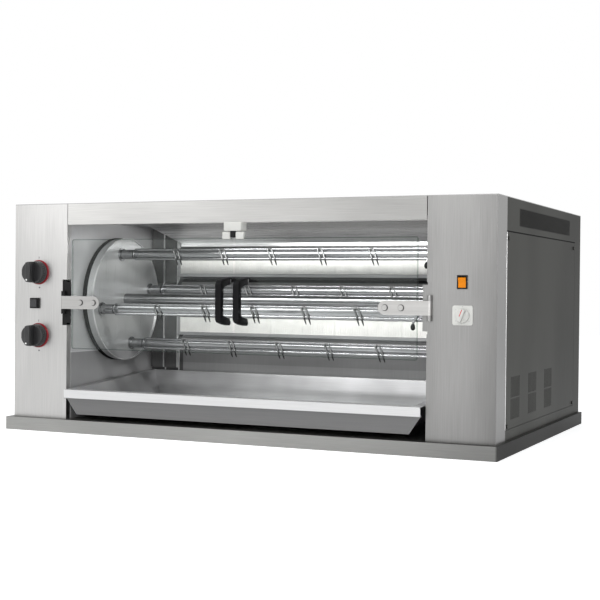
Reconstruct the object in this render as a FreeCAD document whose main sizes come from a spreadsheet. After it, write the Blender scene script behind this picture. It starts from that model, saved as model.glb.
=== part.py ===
import FreeCAD, Part
import math
import os
import re

import Sketcher

# Countertop rotisserie with two gas burners, four turning spits, two glass doors and a drip tray.
# Millimetres. X runs to the right, Y to the back and Z up. The origin is on the floor, in the
# middle of the plinth.

doc = FreeCAD.newDocument("Rotisserie")
sheet = doc.addObject("Spreadsheet::Sheet", "Sizes")

# Driving dimensions
SIZES = [
    # Casing
    ("plinth_width", 1278),
    ("plinth_depth", 862),
    ("plinth_height", 32),
    ("plinth_sheet", 2),
    ("plinth_front", 22),
    ("body_width", 1260),
    ("body_depth", 840),
    ("body_height", 570),
    ("panel", 1.5),
    ("seat_gap", 0.3),
    ("chamber_width", 944),
    ("chamber_depth", 410),
    ("chamber_top", 530),
    ("column_return", 18),
    ("corner_return", 75),
    ("edge_strip", 11),
    ("edge_step", 1),
    ("fascia_width", 941),
    ("fascia_height", 53),
    ("fascia_return", 30),
    ("cover_flange", 12),
    ("skirt_front", 207),
    ("skirt_back", 185),
    ("skirt_sheet", 1),
    # Right and left side panels
    ("service_bottom", 57),
    ("service_top", 492),
    ("service_back", 768),
    ("service_seam", 1),
    ("frame_sill", 15),
    ("frame_border", 26),
    ("louvre_front", 182),
    ("louvre_back", 702),
    ("louvre_bottom", 510),
    ("louvre_height", 38),
    ("slot_width", 3),
    ("slot_pitch", 8),
    ("vent_bottom", 76),
    ("vent_height", 46),
    ("vent_rise", 49),
    ("vent_length", 72),
    ("vent_first", 120),
    ("vent_step", 158),
    # Chamber back, hood and burners
    ("hood_bend", 200),
    ("hood_low", 486),
    ("hood_lip", 475),
    ("hood_gap", 12),
    ("hood_left", 373),
    ("ledge_reach", 14),
    ("ledge_top", 386),
    ("ledge_lip", 365),
    ("sill_top", 232),
    ("sill_lip", 212),
    ("shield_depth", 10),
    ("shield_width", 40),
    ("shield_inset", 4),
    ("shield_gap", 3),
    ("shield_low", 142),
    ("burner_left", 384.5),
    ("burner_right", 464.5),
    ("burner_depth", 47),
    ("burner_recess", 12),
    ("burner_border", 8),
    ("burner_wall", 2),
    ("upper_burner_low", 393),
    ("upper_burner_high", 449),
    ("lower_burner_low", 233),
    ("lower_burner_high", 294),
    ("tile_count", 9),
    ("tile_depth", 12),
    ("tile_set_back", 2),
    ("tile_joint", 0.6),
    # Rotor
    ("rotor_back", 228),
    ("rotor_height", 331),
    ("orbit", 120),
    ("spit_phase", 12),
    ("drum_radius", 160),
    ("drum_face", 30),
    ("drum_gap", 2),
    ("drum_sheet", 3),
    ("drum_rim", 2),
    ("hub_radius", 20),
    ("hub_length", 75),
    ("hub_gap", 2),
    ("tube_radius", 14.5),
    ("tube_bore", 12.5),
    ("tube_tail", 28),
    ("bearing_ring", 14),
    ("bearing_width", 16),
    ("running_fit", 0.05),
    ("overshoot", 1),
    ("gear_module", 4),
    ("sun_teeth", 45),
    ("planet_teeth", 15),
    ("sun_width", 12),
    ("planet_width", 9),
    ("planet_gap", 1.5),
    ("gear_slack", 0.42),
    ("drive_module", 2),
    ("drive_teeth", 60),
    ("pinion_teeth", 15),
    ("drive_width", 10),
    ("drive_inset", 32),
    ("journal_radius", 9),
    ("collar_radius", 12),
    ("flange_radius", 17),
    ("flange_width", 3.2),
    ("end_play", 0.3),
    ("socket_radius", 12.5),
    ("socket_length", 36),
    ("tang_radius", 8),
    ("tang_fit", 0.2),
    ("tang_length", 27),
    # Spits
    ("spit_start", 398),
    ("spit_end", 430),
    ("channel_height", 30),
    ("channel_depth", 10),
    ("channel_sheet", 2),
    ("end_disc", 15),
    ("end_disc_width", 3),
    ("pin_radius", 6),
    ("pin_length", 28),
    ("fork_count", 5),
    ("fork_pitch", 135),
    ("fork_wire", 2),
    ("fork_bite", 0.5),
    ("fork_reach", 28),
    ("fork_splay", 9),
    ("grip_wire", 2.5),
    ("grip_out", 12),
    ("grip_drop", 20),
    ("bulb_radius", 5.5),
    ("bulb_length", 14),
    # Right wheel
    ("wheel_left", 440),
    ("wheel_width", 6),
    ("wheel_hub", 24),
    ("wheel_hub_width", 22),
    ("wheel_arm", 18),
    ("wheel_eye", 14),
    # Gearmotor
    ("motor_radius", 38),
    ("motor_length", 88),
    ("motor_plate", 3),
    ("motor_plate_left", 512),
    ("motor_shaft", 5),
    ("shaft_depth", 30),
    ("post_radius", 5),
    ("post_near", 20),
    ("post_far", 40),
    ("post_low", 40),
    ("post_high", 60),
    ("plate_border", 8),
    # Gas fittings and knobs
    ("knob_x", 557),
    ("upper_knob_height", 398),
    ("lower_knob_height", 239),
    ("bezel_radius", 31),
    ("bezel_width", 4),
    ("knob_radius", 28.5),
    ("knob_gap", 0.5),
    ("knob_skirt", 7.5),
    ("knob_step", 1.5),
    ("knob_draft", 2),
    ("knob_crown", 22),
    ("knob_depth", 44),
    ("shoulder_depth", 39),
    ("shoulder_right", 2),
    ("knob_bar_left", 11),
    ("knob_bar_right", 3),
    ("spindle_radius", 4),
    ("spindle_length", 28),
    ("spindle_hole", 5.5),
    ("valve_width", 26),
    ("valve_height", 30),
    ("valve_front", 6),
    ("valve_back", 46),
    ("valve_nose", 9),
    ("pipe_radius", 5),
    ("feed_back", 430),
    ("manifold_x", 592),
    ("manifold_back", 38),
    ("inlet_height", 110),
    ("inlet_radius", 10.5),
    ("inlet_length", 18),
    ("inlet_neck", 8),
    ("inlet_step", 2),
    ("inlet_tail", 20),
    ("inlet_nut", 15),
    ("nut_width", 5),
    # Igniter button
    ("igniter_x", 567.5),
    ("igniter_height", 320),
    ("igniter_width", 25),
    ("igniter_tall", 26),
    ("igniter_frame", 6),
    ("igniter_floor", 1),
    ("igniter_border", 3),
    ("igniter_travel", 2.6),
    ("button_gap", 0.3),
    ("button_proud", 3),
    ("barrel_radius", 9),
    ("barrel_length", 30),
    ("plunger_radius", 3),
    ("plunger_length", 20),
    # Rocker switch
    ("rocker_x", 552.5),
    ("rocker_height", 380.5),
    ("rocker_frame_width", 23),
    ("rocker_frame_tall", 30),
    ("rocker_frame_proud", 3),
    ("rocker_border", 2.7),
    ("rocker_body_depth", 20),
    ("rocker_side_gap", 0.4),
    ("rocker_end_gap", 1.5),
    ("rocker_tilt", 8),
    ("rocker_pivot", 4),
    ("rocker_dip", 3),
    ("rocker_end", 4.5),
    ("trunnion_radius", 1.5),
    ("trunnion_length", 1.2),
    ("socket_play", 0.1),
    ("rocker_edge", 1),
    ("rocker_heel", 3),
    # Rotary switch
    ("dial_x", 554),
    ("dial_height", 308.5),
    ("dial_plate_width", 46),
    ("dial_plate_tall", 43),
    ("dial_plate_thick", 2.5),
    ("dial_radius", 16),
    ("dial_depth", 18),
    ("dial_skirt", 5),
    ("dial_bar", 8),
    ("dial_hub", 8),
    ("dial_hub_length", 24),
    ("dial_spindle", 3),
    ("dial_spindle_length", 18),
    # Doors
    ("door_seam", 4),
    ("door_edge", 453),
    ("door_bottom", 208),
    ("door_top", 480),
    ("glass", 5),
    ("glass_gap", 2),
    ("glass_corner", 6),
    ("hinge_height", 323),
    ("strap_tall", 32),
    ("strap_sheet", 2.5),
    ("right_strap_end", 362),
    ("left_strap_end", 371),
    ("hinge_x", 479.5),
    ("hinge_out", 4),
    ("pin_of_hinge", 3),
    ("knuckle", 5.5),
    ("ear_tall", 12),
    ("slot_half", 57),
    ("slot_far", 485),
    ("bracket_sheet", 2.5),
    ("plate_margin", 5),
    ("bracket_far", 510),
    ("leaf_near", 462),
    ("leaf_half", 51),
    ("bolt_radius", 3),
    ("bolt_head", 6),
    ("bolt_head_tall", 3.5),
    ("bolt_fit", 0.1),
    ("bolt_near", 16),
    ("bolt_pitch", 38),
    ("nut_radius", 5.5),
    ("nut_tall", 3),
    ("handle_x", 23),
    ("handle_shift", 8),
    ("handle_height", 331),
    ("handle_half", 56),
    ("handle_grip_half", 47),
    ("handle_foot", 14),
    ("handle_corner", 6),
    ("handle_bend", 4),
    ("handle_near", 34),
    ("handle_far", 49),
    ("handle_width", 16),
    ("keeper_near", 7),
    ("keeper_width", 21),
    ("keeper_low", 477),
    ("keeper_high", 494),
    ("keeper_thick", 6),
    ("catch_half", 23),
    ("catch_low", 496),
    ("catch_depth", 30),
    ("catch_front", 16),
    ("magnet_half", 6),
    ("magnet_low", 481),
    ("magnet_depth", 12),
    ("magnet_front", 15),
    # Drip tray
    ("tray_tilt", 4),
    ("tray_floor_height", 46),
    ("tray_deep", 62),
    ("tray_rim_half", 466),
    ("tray_mouth_half", 447),
    ("tray_floor_half", 416),
    ("tray_back", 396),
    ("tray_front_lip", 15),
    ("tray_lip_tall", 22),
    ("tray_lip_return", 10),
    ("tray_rim_back", 8),
    ("tray_end_slope", 26),
    ("tray_skirt_top", 465),
    ("tray_skirt_foot", 436),
    ("tray_pan_front", 2),
    ("tray_sheet", 1.5),
    ("runner_near", 453),
    ("runner_sheet", 2),
    ("runner_back", 390),
    ("runner_clear", 4),
    # Cable gland and screws
    ("gland_x", 540),
    ("gland_height", 80),
    ("gland_radius", 11),
    ("gland_bore", 4),
    ("gland_flange", 15),
    ("gland_length", 14),
    ("gland_collar", 4),
    ("gland_nut", 5),
    ("screw_radius", 2),
    ("screw_head", 4.5),
    ("screw_head_tall", 2.2),
    ("screw_shank", 8),
    ("screw_inset", 14),
    ("screw_fit", 0.1),
]
NAMES = [name for name, size in SIZES]
for row, (name, size) in enumerate(SIZES, start=1):
    sheet.set(f"A{row}", name)
    sheet.set(f"B{row}", str(size))
    sheet.setAlias(f"B{row}", name)
doc.recompute()


def tie(formula):
    """Point each size in a formula at its cell."""
    return re.sub(r"[a-z][a-z_]*", lambda word: link(word.group()), str(formula))


def link(word):
    return f"Sizes.{word}" if word in NAMES else word


def size(formula):
    """The value of a formula, as a plain number."""
    found = sheet.evalExpression(tie(formula))
    return float(getattr(found, "Value", found))


def bind(item, prop, formula):
    item.setExpression(prop, tie(formula))


# Places that several pieces share, as formulas
FRONT = "(plinth_front - plinth_depth / 2)"
BACK = f"({FRONT} + body_depth)"
SIDE = "(body_width / 2)"
DECK = "plinth_height"
LID = "(body_height - panel)"
OPENING = "(chamber_width / 2)"
CHAMBER_BACK = f"({FRONT} + chamber_depth)"
AXIS_Y = f"({FRONT} + rotor_back)"
AXIS_Z = "rotor_height"
DRUM_FACE = f"(drum_face - {OPENING})"
BURNER_FRONT = f"({CHAMBER_BACK} - burner_recess)"
HINGE_Y = f"({FRONT} - hinge_out)"
GLASS_BACK = f"({FRONT} - glass_gap)"
GLASS_FRONT = f"({GLASS_BACK} - glass)"
MOTOR_Y = f"({AXIS_Y} + drive_module * (drive_teeth + pinion_teeth) / 2)"
TURN = {
    "X": FreeCAD.Rotation(FreeCAD.Vector(0, 1, 0), 90),
    "Y": FreeCAD.Rotation(FreeCAD.Vector(1, 0, 0), -90),
    "Z": FreeCAD.Rotation(),
}
ALONG = {"X": 0, "Y": 1, "Z": 2}
PIECES = []


def piece(item, label):
    """Keep an object as one sub-part under its own label."""
    item.Label = label
    PIECES.append(item)
    return item


# Primitives and booleans bound to the sheet
def block(name, x, y, z):
    """A box between two planes on each axis."""
    item = doc.addObject("Part::Box", name)
    for prop, corner, span in (("Length", "x", x), ("Width", "y", y), ("Height", "z", z)):
        bind(item, prop, f"({span[1]}) - ({span[0]})")
        bind(item, f"Placement.Base.{corner}", span[0])
    return item


def rod(name, axis, centre, radius, start, end):
    """A cylinder along an axis, through a centre given by its other two coordinates."""
    item = doc.addObject("Part::Cylinder", name)
    bind(item, "Radius", radius)
    bind(item, "Height", f"({end}) - ({start})")
    item.Placement.Rotation = TURN[axis]
    base = list(centre)
    base.insert(ALONG[axis], start)
    for corner, formula in zip("xyz", base):
        bind(item, f"Placement.Base.{corner}", formula)
    return item


def cut(name, base, tools):
    tool = tools[0] if len(tools) == 1 else fuse(name + "_tools", tools)
    item = doc.addObject("Part::Cut", name)
    item.Base = base
    item.Tool = tool
    return item


def fuse(name, parts):
    item = doc.addObject("Part::MultiFuse", name)
    item.Shapes = parts
    item.Refine = True
    return item


def group(name, parts):
    item = doc.addObject("Part::Compound", name)
    item.Links = parts
    return item


def ring(name, axis, centre, outer, inner, start, end):
    """A tube with both ends flush."""
    body = rod(name + "_outer", axis, centre, outer, start, end)
    bore = rod(name + "_bore", axis, centre, inner, f"({start}) - overshoot", f"({end}) + overshoot")
    return cut(name, body, [bore])


# PartDesign bodies
def plane_of(body, plane):
    return next(item for item in body.Origin.OriginFeatures if item.Role == plane)


def outline(body, name, plane, points):
    """A closed sketch whose corners are bound to formulas."""
    sketch = body.newObject("Sketcher::SketchObject", name)
    sketch.AttachmentSupport = [(plane_of(body, plane), "")]
    sketch.MapMode = "FlatFace"
    corners = [FreeCAD.Vector(size(u), size(v), 0) for u, v in points]
    count = len(corners)
    for index in range(count):
        sketch.addGeometry(Part.LineSegment(corners[index], corners[(index + 1) % count]), False)
    for index in range(count):
        sketch.addConstraint(Sketcher.Constraint("Coincident", index, 2, (index + 1) % count, 1))
    for index, (u, v) in enumerate(points):
        for kind, formula in (("DistanceX", u), ("DistanceY", v)):
            place = Sketcher.Constraint(kind, -1, 1, index, 1, size(formula))
            number = sketch.addConstraint(place)
            bind(sketch, f"Constraints[{number}]", formula)
    return sketch


def extrusion(name, plane, points, start, end):
    """A pad of an outline, from start to end along the normal of its plane."""
    body = doc.addObject("PartDesign::Body", name)
    sketch = outline(body, name + "_outline", plane + "_Plane", points)
    pad = body.newObject("PartDesign::Pad", name + "_pad")
    pad.Profile = sketch
    bind(pad, "Length", f"({end}) - ({start})")
    sketch.Visibility = False
    corner, place = {"XY": ("z", start), "YZ": ("x", start), "XZ": ("y", end)}[plane]
    bind(body, f"Placement.Base.{corner}", place)
    return body


def turned(name, axis, points, centre):
    """A body of revolution from (along, radius) corners, about an axis through a centre."""
    body = doc.addObject("PartDesign::Body", name)
    plane = {"X": "XY_Plane", "Y": "XY_Plane", "Z": "XZ_Plane"}[axis]
    if axis == "X":
        corners = points
    else:
        corners = [(radius, along) for along, radius in points]
    sketch = outline(body, name + "_outline", plane, corners)
    turn = body.newObject("PartDesign::Revolution", name + "_turn")
    turn.Profile = sketch
    turn.ReferenceAxis = (sketch, ["H_Axis" if axis == "X" else "V_Axis"])
    turn.Angle = 360
    sketch.Visibility = False
    for corner, formula in zip("xyz", centre):
        bind(body, f"Placement.Base.{corner}", formula)
    return body


def slot_row(body, name, start, low, tall, length):
    """A row of upright slots through a side panel that lies in its body's YZ plane."""
    end = f"({start}) + slot_width"
    top = f"({low}) + ({tall})"
    corners = [(start, low), (end, low), (end, top), (start, top)]
    sketch = outline(body, name + "_outline", "YZ_Plane", corners)
    pocket = body.newObject("PartDesign::Pocket", name + "_slot")
    pocket.Profile = sketch
    pocket.Type = 1
    pocket.Reversed = True
    sketch.Visibility = False
    pattern = body.newObject("PartDesign::LinearPattern", name + "_row")
    pattern.Originals = [pocket]
    pattern.Direction = (sketch, ["H_Axis"])
    count = f"floor(({length}) / slot_pitch) + 1"
    bind(pattern, "Occurrences", count)
    bind(pattern, "Length", f"(({count}) - 1) * slot_pitch")
    body.Tip = pattern
    return pattern


def side_name(sign):
    return "left" if sign < 0 else "right"


def span(sign, near, far):
    """The X range of something between two distances from the middle, on one side."""
    if sign < 0:
        return (f"-({far})", f"-({near})")
    return (near, far)


# Plinth and base pan
def make_plinth():
    half_x, half_y = "plinth_width / 2", "plinth_depth / 2"
    outer = block("plinth_outer", (f"-{half_x}", half_x), (f"-{half_y}", half_y), ("0", DECK))
    inner = block(
        "plinth_inner",
        (f"plinth_sheet - {half_x}", f"{half_x} - plinth_sheet"),
        (f"plinth_sheet - {half_y}", f"{half_y} - plinth_sheet"),
        ("-overshoot", f"{DECK} - plinth_sheet"),
    )
    piece(cut("base_plinth", outer, [inner]), "base_plinth")
    inset = "plinth_sheet + seat_gap"
    pan = extrusion(
        "base_pan",
        "XY",
        [
            (f"{inset} - {half_x}", f"{inset} - {half_y}"),
            (f"{half_x} - ({inset})", f"{inset} - {half_y}"),
            (f"{half_x} - ({inset})", f"{half_y} - ({inset})"),
            (f"{inset} - {half_x}", f"{half_y} - ({inset})"),
        ],
        "0",
        "plinth_sheet",
    )
    piece(pan, "base_pan")


# Front columns
def column(sign):
    """A folded front column with an inner return and a corner return."""
    name = side_name(sign) + "_column"
    step = "edge_step" if sign > 0 else "0"
    near, far = OPENING, SIDE
    strip = f"({OPENING} + edge_strip)"
    corners = [
        (near, f"{FRONT} + {step}"),
        (strip, f"{FRONT} + {step}"),
        (strip, FRONT),
        (far, FRONT),
        (far, f"{FRONT} + corner_return"),
        (f"{far} - panel", f"{FRONT} + corner_return"),
        (f"{far} - panel", f"{FRONT} + panel"),
        (f"{strip} + panel", f"{FRONT} + panel"),
        (f"{strip} + panel", f"{FRONT} + {step} + panel"),
        (f"{near} + panel", f"{FRONT} + {step} + panel"),
        (f"{near} + panel", f"{FRONT} + column_return"),
        (near, f"{FRONT} + column_return"),
    ]
    if sign < 0:
        corners = [(near, FRONT)] + corners[3:7] + corners[9:]
        corners[5] = (f"{near} + panel", f"{FRONT} + panel")
        corners = [(f"-({x})", y) for x, y in corners]
    shell = extrusion(name + "_shell", "XY", corners, DECK, LID)
    hinge_slot = block(
        name + "_hinge_slot",
        span(sign, f"{OPENING} - overshoot", "slot_far"),
        (f"{FRONT} - overshoot", f"{FRONT} + column_return + overshoot"),
        ("hinge_height - slot_half", "hinge_height + slot_half"),
    )
    through = (f"{FRONT} - overshoot", f"{FRONT} + panel + overshoot")
    holes = [hinge_slot]
    if sign < 0:
        for level in ("upper", "lower"):
            centre = ("-knob_x", f"{level}_knob_height")
            holes.append(rod(f"{level}_spindle_hole", "Y", centre, "spindle_hole", *through))
        barrel = "barrel_radius + bolt_fit"
        holes.append(rod("igniter_hole", "Y", ("-igniter_x", "igniter_height"), barrel, *through))
    else:
        holes.append(
            block(
                "rocker_hole",
                centred("rocker_x", "rocker_frame_width - 2 * rocker_border + 2 * panel + 2 * bolt_fit"),
                through,
                centred("rocker_height", "rocker_frame_tall - 2 * rocker_border + 2 * panel + 2 * bolt_fit"),
            )
        )
        hub = "dial_hub + bolt_fit"
        holes.append(rod("dial_hole", "Y", ("dial_x", "dial_height"), hub, *through))
    piece(cut(name, shell, holes), name)


def centred(middle, width):
    """The range of something of a given width about a middle."""
    return (f"({middle}) - ({width}) / 2", f"({middle}) + ({width}) / 2")


# Fascia over the opening and the top cover
def make_fascia():
    low = f"{LID} + panel - fascia_height"
    profile = [
        (FRONT, low),
        (f"{FRONT} + fascia_return", low),
        (f"{FRONT} + fascia_return", f"{low} + panel"),
        (f"{FRONT} + panel", f"{low} + panel"),
        (f"{FRONT} + panel", f"{LID} - panel"),
        (f"{FRONT} + fascia_return", f"{LID} - panel"),
        (f"{FRONT} + fascia_return", LID),
        (FRONT, LID),
    ]
    piece(extrusion("fascia", "YZ", profile, "-fascia_width / 2", "fascia_width / 2"), "fascia")


def make_top_cover():
    plate = block("cover_plate", (f"-{SIDE}", SIDE), (FRONT, BACK), (LID, "body_height"))
    far = f"{SIDE} - 2 * panel - seat_gap"
    flange = block(
        "cover_flange_outer",
        (f"-({far})", far),
        (f"{FRONT} + corner_return", f"{BACK} - panel - seat_gap"),
        (f"{LID} - cover_flange", LID),
    )
    hollow = block(
        "cover_flange_inner",
        (f"panel - ({far})", f"{far} - panel"),
        (f"{FRONT} + corner_return - overshoot", f"{BACK} - 2 * panel - seat_gap"),
        (f"{LID} - cover_flange - overshoot", LID),
    )
    piece(fuse("top_cover", [plate, cut("cover_flange_ring", flange, [hollow])]), "top_cover")


# Back panel and side panels
def screw_places():
    """Screw centres of the back panel and of the service panel."""
    back = []
    for sign in (-1, 1):
        for z in (f"{DECK} + screw_inset", "body_height / 2", f"{LID} - 2 * screw_inset"):
            back.append((f"{sign} * ({SIDE} - 2 * screw_inset)", z))
    side = []
    for y in (f"{FRONT} + corner_return + screw_inset", f"{FRONT} + service_back - screw_inset"):
        for z in ("service_bottom + screw_inset / 2", "service_top - screw_inset"):
            side.append((y, z))
    return back, side


def make_back_panel():
    plate = block("back_plate", (f"-{SIDE}", SIDE), (f"{BACK} - panel", BACK), (DECK, LID))
    through = (f"{BACK} - panel - overshoot", f"{BACK} + overshoot")
    holes = [
        rod("inlet_hole", "Y", ("-manifold_x", "inlet_height"), "inlet_neck + bolt_fit", *through),
        rod("gland_hole", "Y", ("gland_x", "gland_height"), "gland_radius + bolt_fit", *through),
    ]
    for number, centre in enumerate(screw_places()[0]):
        holes.append(rod(f"back_hole_{number}", "Y", centre, "screw_radius + screw_fit", *through))
    piece(cut("back_panel", plate, holes), "back_panel")


def side_sheet(name, low, high, start, end):
    """An upright sheet in the YZ plane, one panel thick."""
    corners = [(start, low), (end, low), (end, high), (start, high)]
    body = doc.addObject("PartDesign::Body", name)
    sketch = outline(body, name + "_outline", "YZ_Plane", corners)
    pad = body.newObject("PartDesign::Pad", name + "_pad")
    pad.Profile = sketch
    bind(pad, "Length", "panel")
    sketch.Visibility = False
    body.Tip = pad
    return body


def vent_rows(body, name):
    """Six groups of upright slots, in three columns and two rows."""
    for column_number in range(3):
        for row_number in range(2):
            slot_row(
                body,
                f"{name}_{column_number}_{row_number}",
                f"{FRONT} + vent_first + {column_number} * vent_step",
                f"vent_bottom + {row_number} * vent_rise",
                "vent_height",
                "vent_length",
            )


def louvre_row(body, name):
    length = "louvre_back - louvre_front"
    slot_row(body, name, f"{FRONT} + louvre_front", "louvre_bottom", "louvre_height", length)


def make_left_side():
    body = side_sheet("left_side_panel", DECK, LID, f"{FRONT} + corner_return", f"{BACK} - panel")
    vent_rows(body, "left_vent")
    louvre_row(body, "left_louvre")
    bind(body, "Placement.Base.x", f"-{SIDE}")
    piece(body, "left_side_panel")


def make_right_side():
    start, end = f"{FRONT} + corner_return", f"{BACK} - panel"
    inner = side_sheet("side_frame_inner", DECK, LID, f"{start} - frame_sill", end)
    louvre_row(inner, "inner_louvre")
    bind(inner, "Placement.Base.x", f"{SIDE} - 2 * panel")
    band = side_sheet("side_frame_band", "service_top + service_seam", LID, start, end)
    louvre_row(band, "band_louvre")
    bind(band, "Placement.Base.x", f"{SIDE} - panel")
    skin = (f"{SIDE} - panel", SIDE)
    foot = block("side_frame_foot", skin, (start, end), (DECK, "service_bottom - service_seam"))
    post = block(
        "side_frame_post",
        skin,
        (f"{FRONT} + service_back + service_seam", end),
        (DECK, "service_top + service_seam"),
    )
    window = block(
        "side_frame_window",
        (f"{SIDE} - 2 * panel - overshoot", f"{SIDE} - panel"),
        (f"{start} + frame_border", f"{FRONT} + service_back - frame_border"),
        ("service_bottom + frame_border / 2", "service_top - frame_border"),
    )
    through = (f"{SIDE} - 2 * panel - overshoot", f"{SIDE} - panel / 2")
    holes = [window]
    for number, centre in enumerate(screw_places()[1]):
        holes.append(rod(f"frame_hole_{number}", "X", centre, "screw_radius + screw_fit", *through))
    frame = fuse("side_frame_sheets", [cut("side_frame_open", inner, holes), band, foot, post])
    piece(frame, "right_side_frame")

    panel = side_sheet("service_sheet", "service_bottom", "service_top", start, f"{FRONT} + service_back")
    vent_rows(panel, "service_vent")
    bind(panel, "Placement.Base.x", f"{SIDE} - panel")
    through = (f"{SIDE} - panel - overshoot", f"{SIDE} + overshoot")
    holes = []
    for number, centre in enumerate(screw_places()[1]):
        holes.append(rod(f"service_hole_{number}", "X", centre, "screw_radius + screw_fit", *through))
    piece(cut("right_service_panel", panel, holes), "right_service_panel")


# Chamber walls with the tray's runners
TRAY_Z = "tray_floor_height"


def tray_place(item, x, along, up):
    """Set an object's corner in the tilted frame of the drip tray."""
    lean = "tray_tilt * 1 deg"
    item.Placement.Rotation = FreeCAD.Rotation(FreeCAD.Vector(1, 0, 0), size("tray_tilt"))
    bind(item, "Placement.Rotation.Angle", "tray_tilt")
    bind(item, "Placement.Base.x", x)
    bind(item, "Placement.Base.y", f"{FRONT} + ({along}) * cos({lean}) - ({up}) * sin({lean})")
    bind(item, "Placement.Base.z", f"{TRAY_Z} + ({along}) * sin({lean}) + ({up}) * cos({lean})")
    return item


def inner_wall(sign):
    name = side_name(sign) + "_inner_wall"
    start = f"{FRONT} + column_return"
    sheet_x = span(sign, OPENING, f"{OPENING} + panel")
    sheet_part = block(name + "_sheet", sheet_x, (start, CHAMBER_BACK), (DECK, "chamber_top"))
    skirt_x = span(sign, f"{OPENING} - skirt_sheet", OPENING)
    skirt = extrusion(
        name + "_skirt",
        "YZ",
        [(start, DECK), (CHAMBER_BACK, DECK), (CHAMBER_BACK, "skirt_back"), (start, "skirt_front")],
        *skirt_x,
    )
    under = "tray_deep - tray_sheet - seat_gap"
    runner = doc.addObject("Part::Box", name + "_runner")
    bind(runner, "Length", f"{OPENING} - runner_near")
    bind(runner, "Width", "runner_back - column_return - runner_clear")
    bind(runner, "Height", "runner_sheet")
    tray_place(runner, span(sign, "runner_near", OPENING)[0], "column_return + runner_clear", f"{under} - runner_sheet")
    solid = fuse(name + "_solid", [sheet_part, skirt, runner])
    radius = "hub_radius + hub_gap" if sign < 0 else "tube_radius + hub_gap"
    hole = rod(name + "_hole", "X", (AXIS_Y, AXIS_Z), radius, *span(sign, f"{OPENING} - 2 * overshoot", f"{OPENING} + 3 * overshoot"))
    piece(cut(name, solid, [hole]), name)


# Chamber back with its shields, ledge and sill, and the hood above
def folded_ledge(name, top, lip):
    """A sloped ledge with a lip, across the chamber back."""
    lip_y = f"{CHAMBER_BACK} - ledge_reach"
    profile = [
        (CHAMBER_BACK, top),
        (lip_y, f"{top} - ledge_reach"),
        (lip_y, lip),
        (f"{lip_y} + panel", lip),
        (f"{lip_y} + panel", f"{top} - ledge_reach - panel / 2"),
        (CHAMBER_BACK, f"{top} - 1.5 * panel"),
    ]
    half = f"({OPENING} - skirt_sheet - seat_gap)"
    return extrusion(name, "YZ", profile, f"-{half}", half)


def make_chamber_back():
    half = f"{OPENING} - seat_gap"
    plate = block(
        "chamber_back_plate",
        (f"-({half})", half),
        (CHAMBER_BACK, f"{CHAMBER_BACK} + panel"),
        (DECK, "chamber_top"),
    )
    ledge = folded_ledge("middle_ledge", "ledge_top", "ledge_lip")
    sill = folded_ledge("sill", "sill_top", "sill_lip")
    parts = [plate, ledge, sill]
    for number in range(2):
        near = f"({OPENING} - shield_inset - {number} * (shield_width + shield_gap))"
        x = (f"-{near}", f"shield_width - {near}")
        z = ("shield_low", "chamber_top - panel - seat_gap")
        outer = block(f"shield_{number}_outer", x, (f"{CHAMBER_BACK} - shield_depth", CHAMBER_BACK), z)
        hollow = block(
            f"shield_{number}_hollow",
            (f"panel - {near}", f"shield_width - panel - {near}"),
            (f"{CHAMBER_BACK} - shield_depth + panel", f"{CHAMBER_BACK} + overshoot"),
            ("0", "body_height"),
        )
        parts.append(cut(f"shield_{number}", outer, [hollow]))
    solid = fuse("chamber_back_solid", parts)
    windows = []
    for level in ("upper", "lower"):
        windows.append(
            block(
                f"{level}_window",
                ("-burner_left - seat_gap", "burner_right + seat_gap"),
                (f"{CHAMBER_BACK} - overshoot", f"{CHAMBER_BACK} + panel + overshoot"),
                (f"{level}_burner_low - seat_gap", f"{level}_burner_high + seat_gap"),
            )
        )
    piece(cut("chamber_back", solid, windows), "chamber_back")


def make_hood():
    half = f"{OPENING} - seat_gap"
    bend = f"{FRONT} + hood_bend"
    lip = f"{CHAMBER_BACK} - hood_gap - panel"
    roof = "chamber_top"
    profile = [
        (f"{FRONT} + column_return", roof),
        (f"{FRONT} + column_return", f"{roof} - panel"),
        (f"{bend} - panel / 2", f"{roof} - panel"),
        (f"{lip}", "hood_low - panel"),
        (lip, "hood_lip"),
        (f"{lip} + panel", "hood_lip"),
        (f"{lip} + panel", "hood_low"),
        (bend, roof),
    ]
    slope = extrusion("hood_slope", "YZ", profile, "-hood_left", half)
    cheek = [(bend, f"{roof} - panel"), (lip, f"{roof} - panel"), (lip, "hood_low - panel")]
    end = extrusion("hood_cheek", "YZ", cheek, "-hood_left", "panel - hood_left")
    ceiling = block(
        "left_ceiling",
        (f"-({half})", "panel - hood_left"),
        (f"{FRONT} + column_return", f"{CHAMBER_BACK} - seat_gap"),
        (f"{roof} - panel", roof),
    )
    piece(fuse("upper_hood", [slope, end, ceiling]), "upper_hood")


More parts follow.
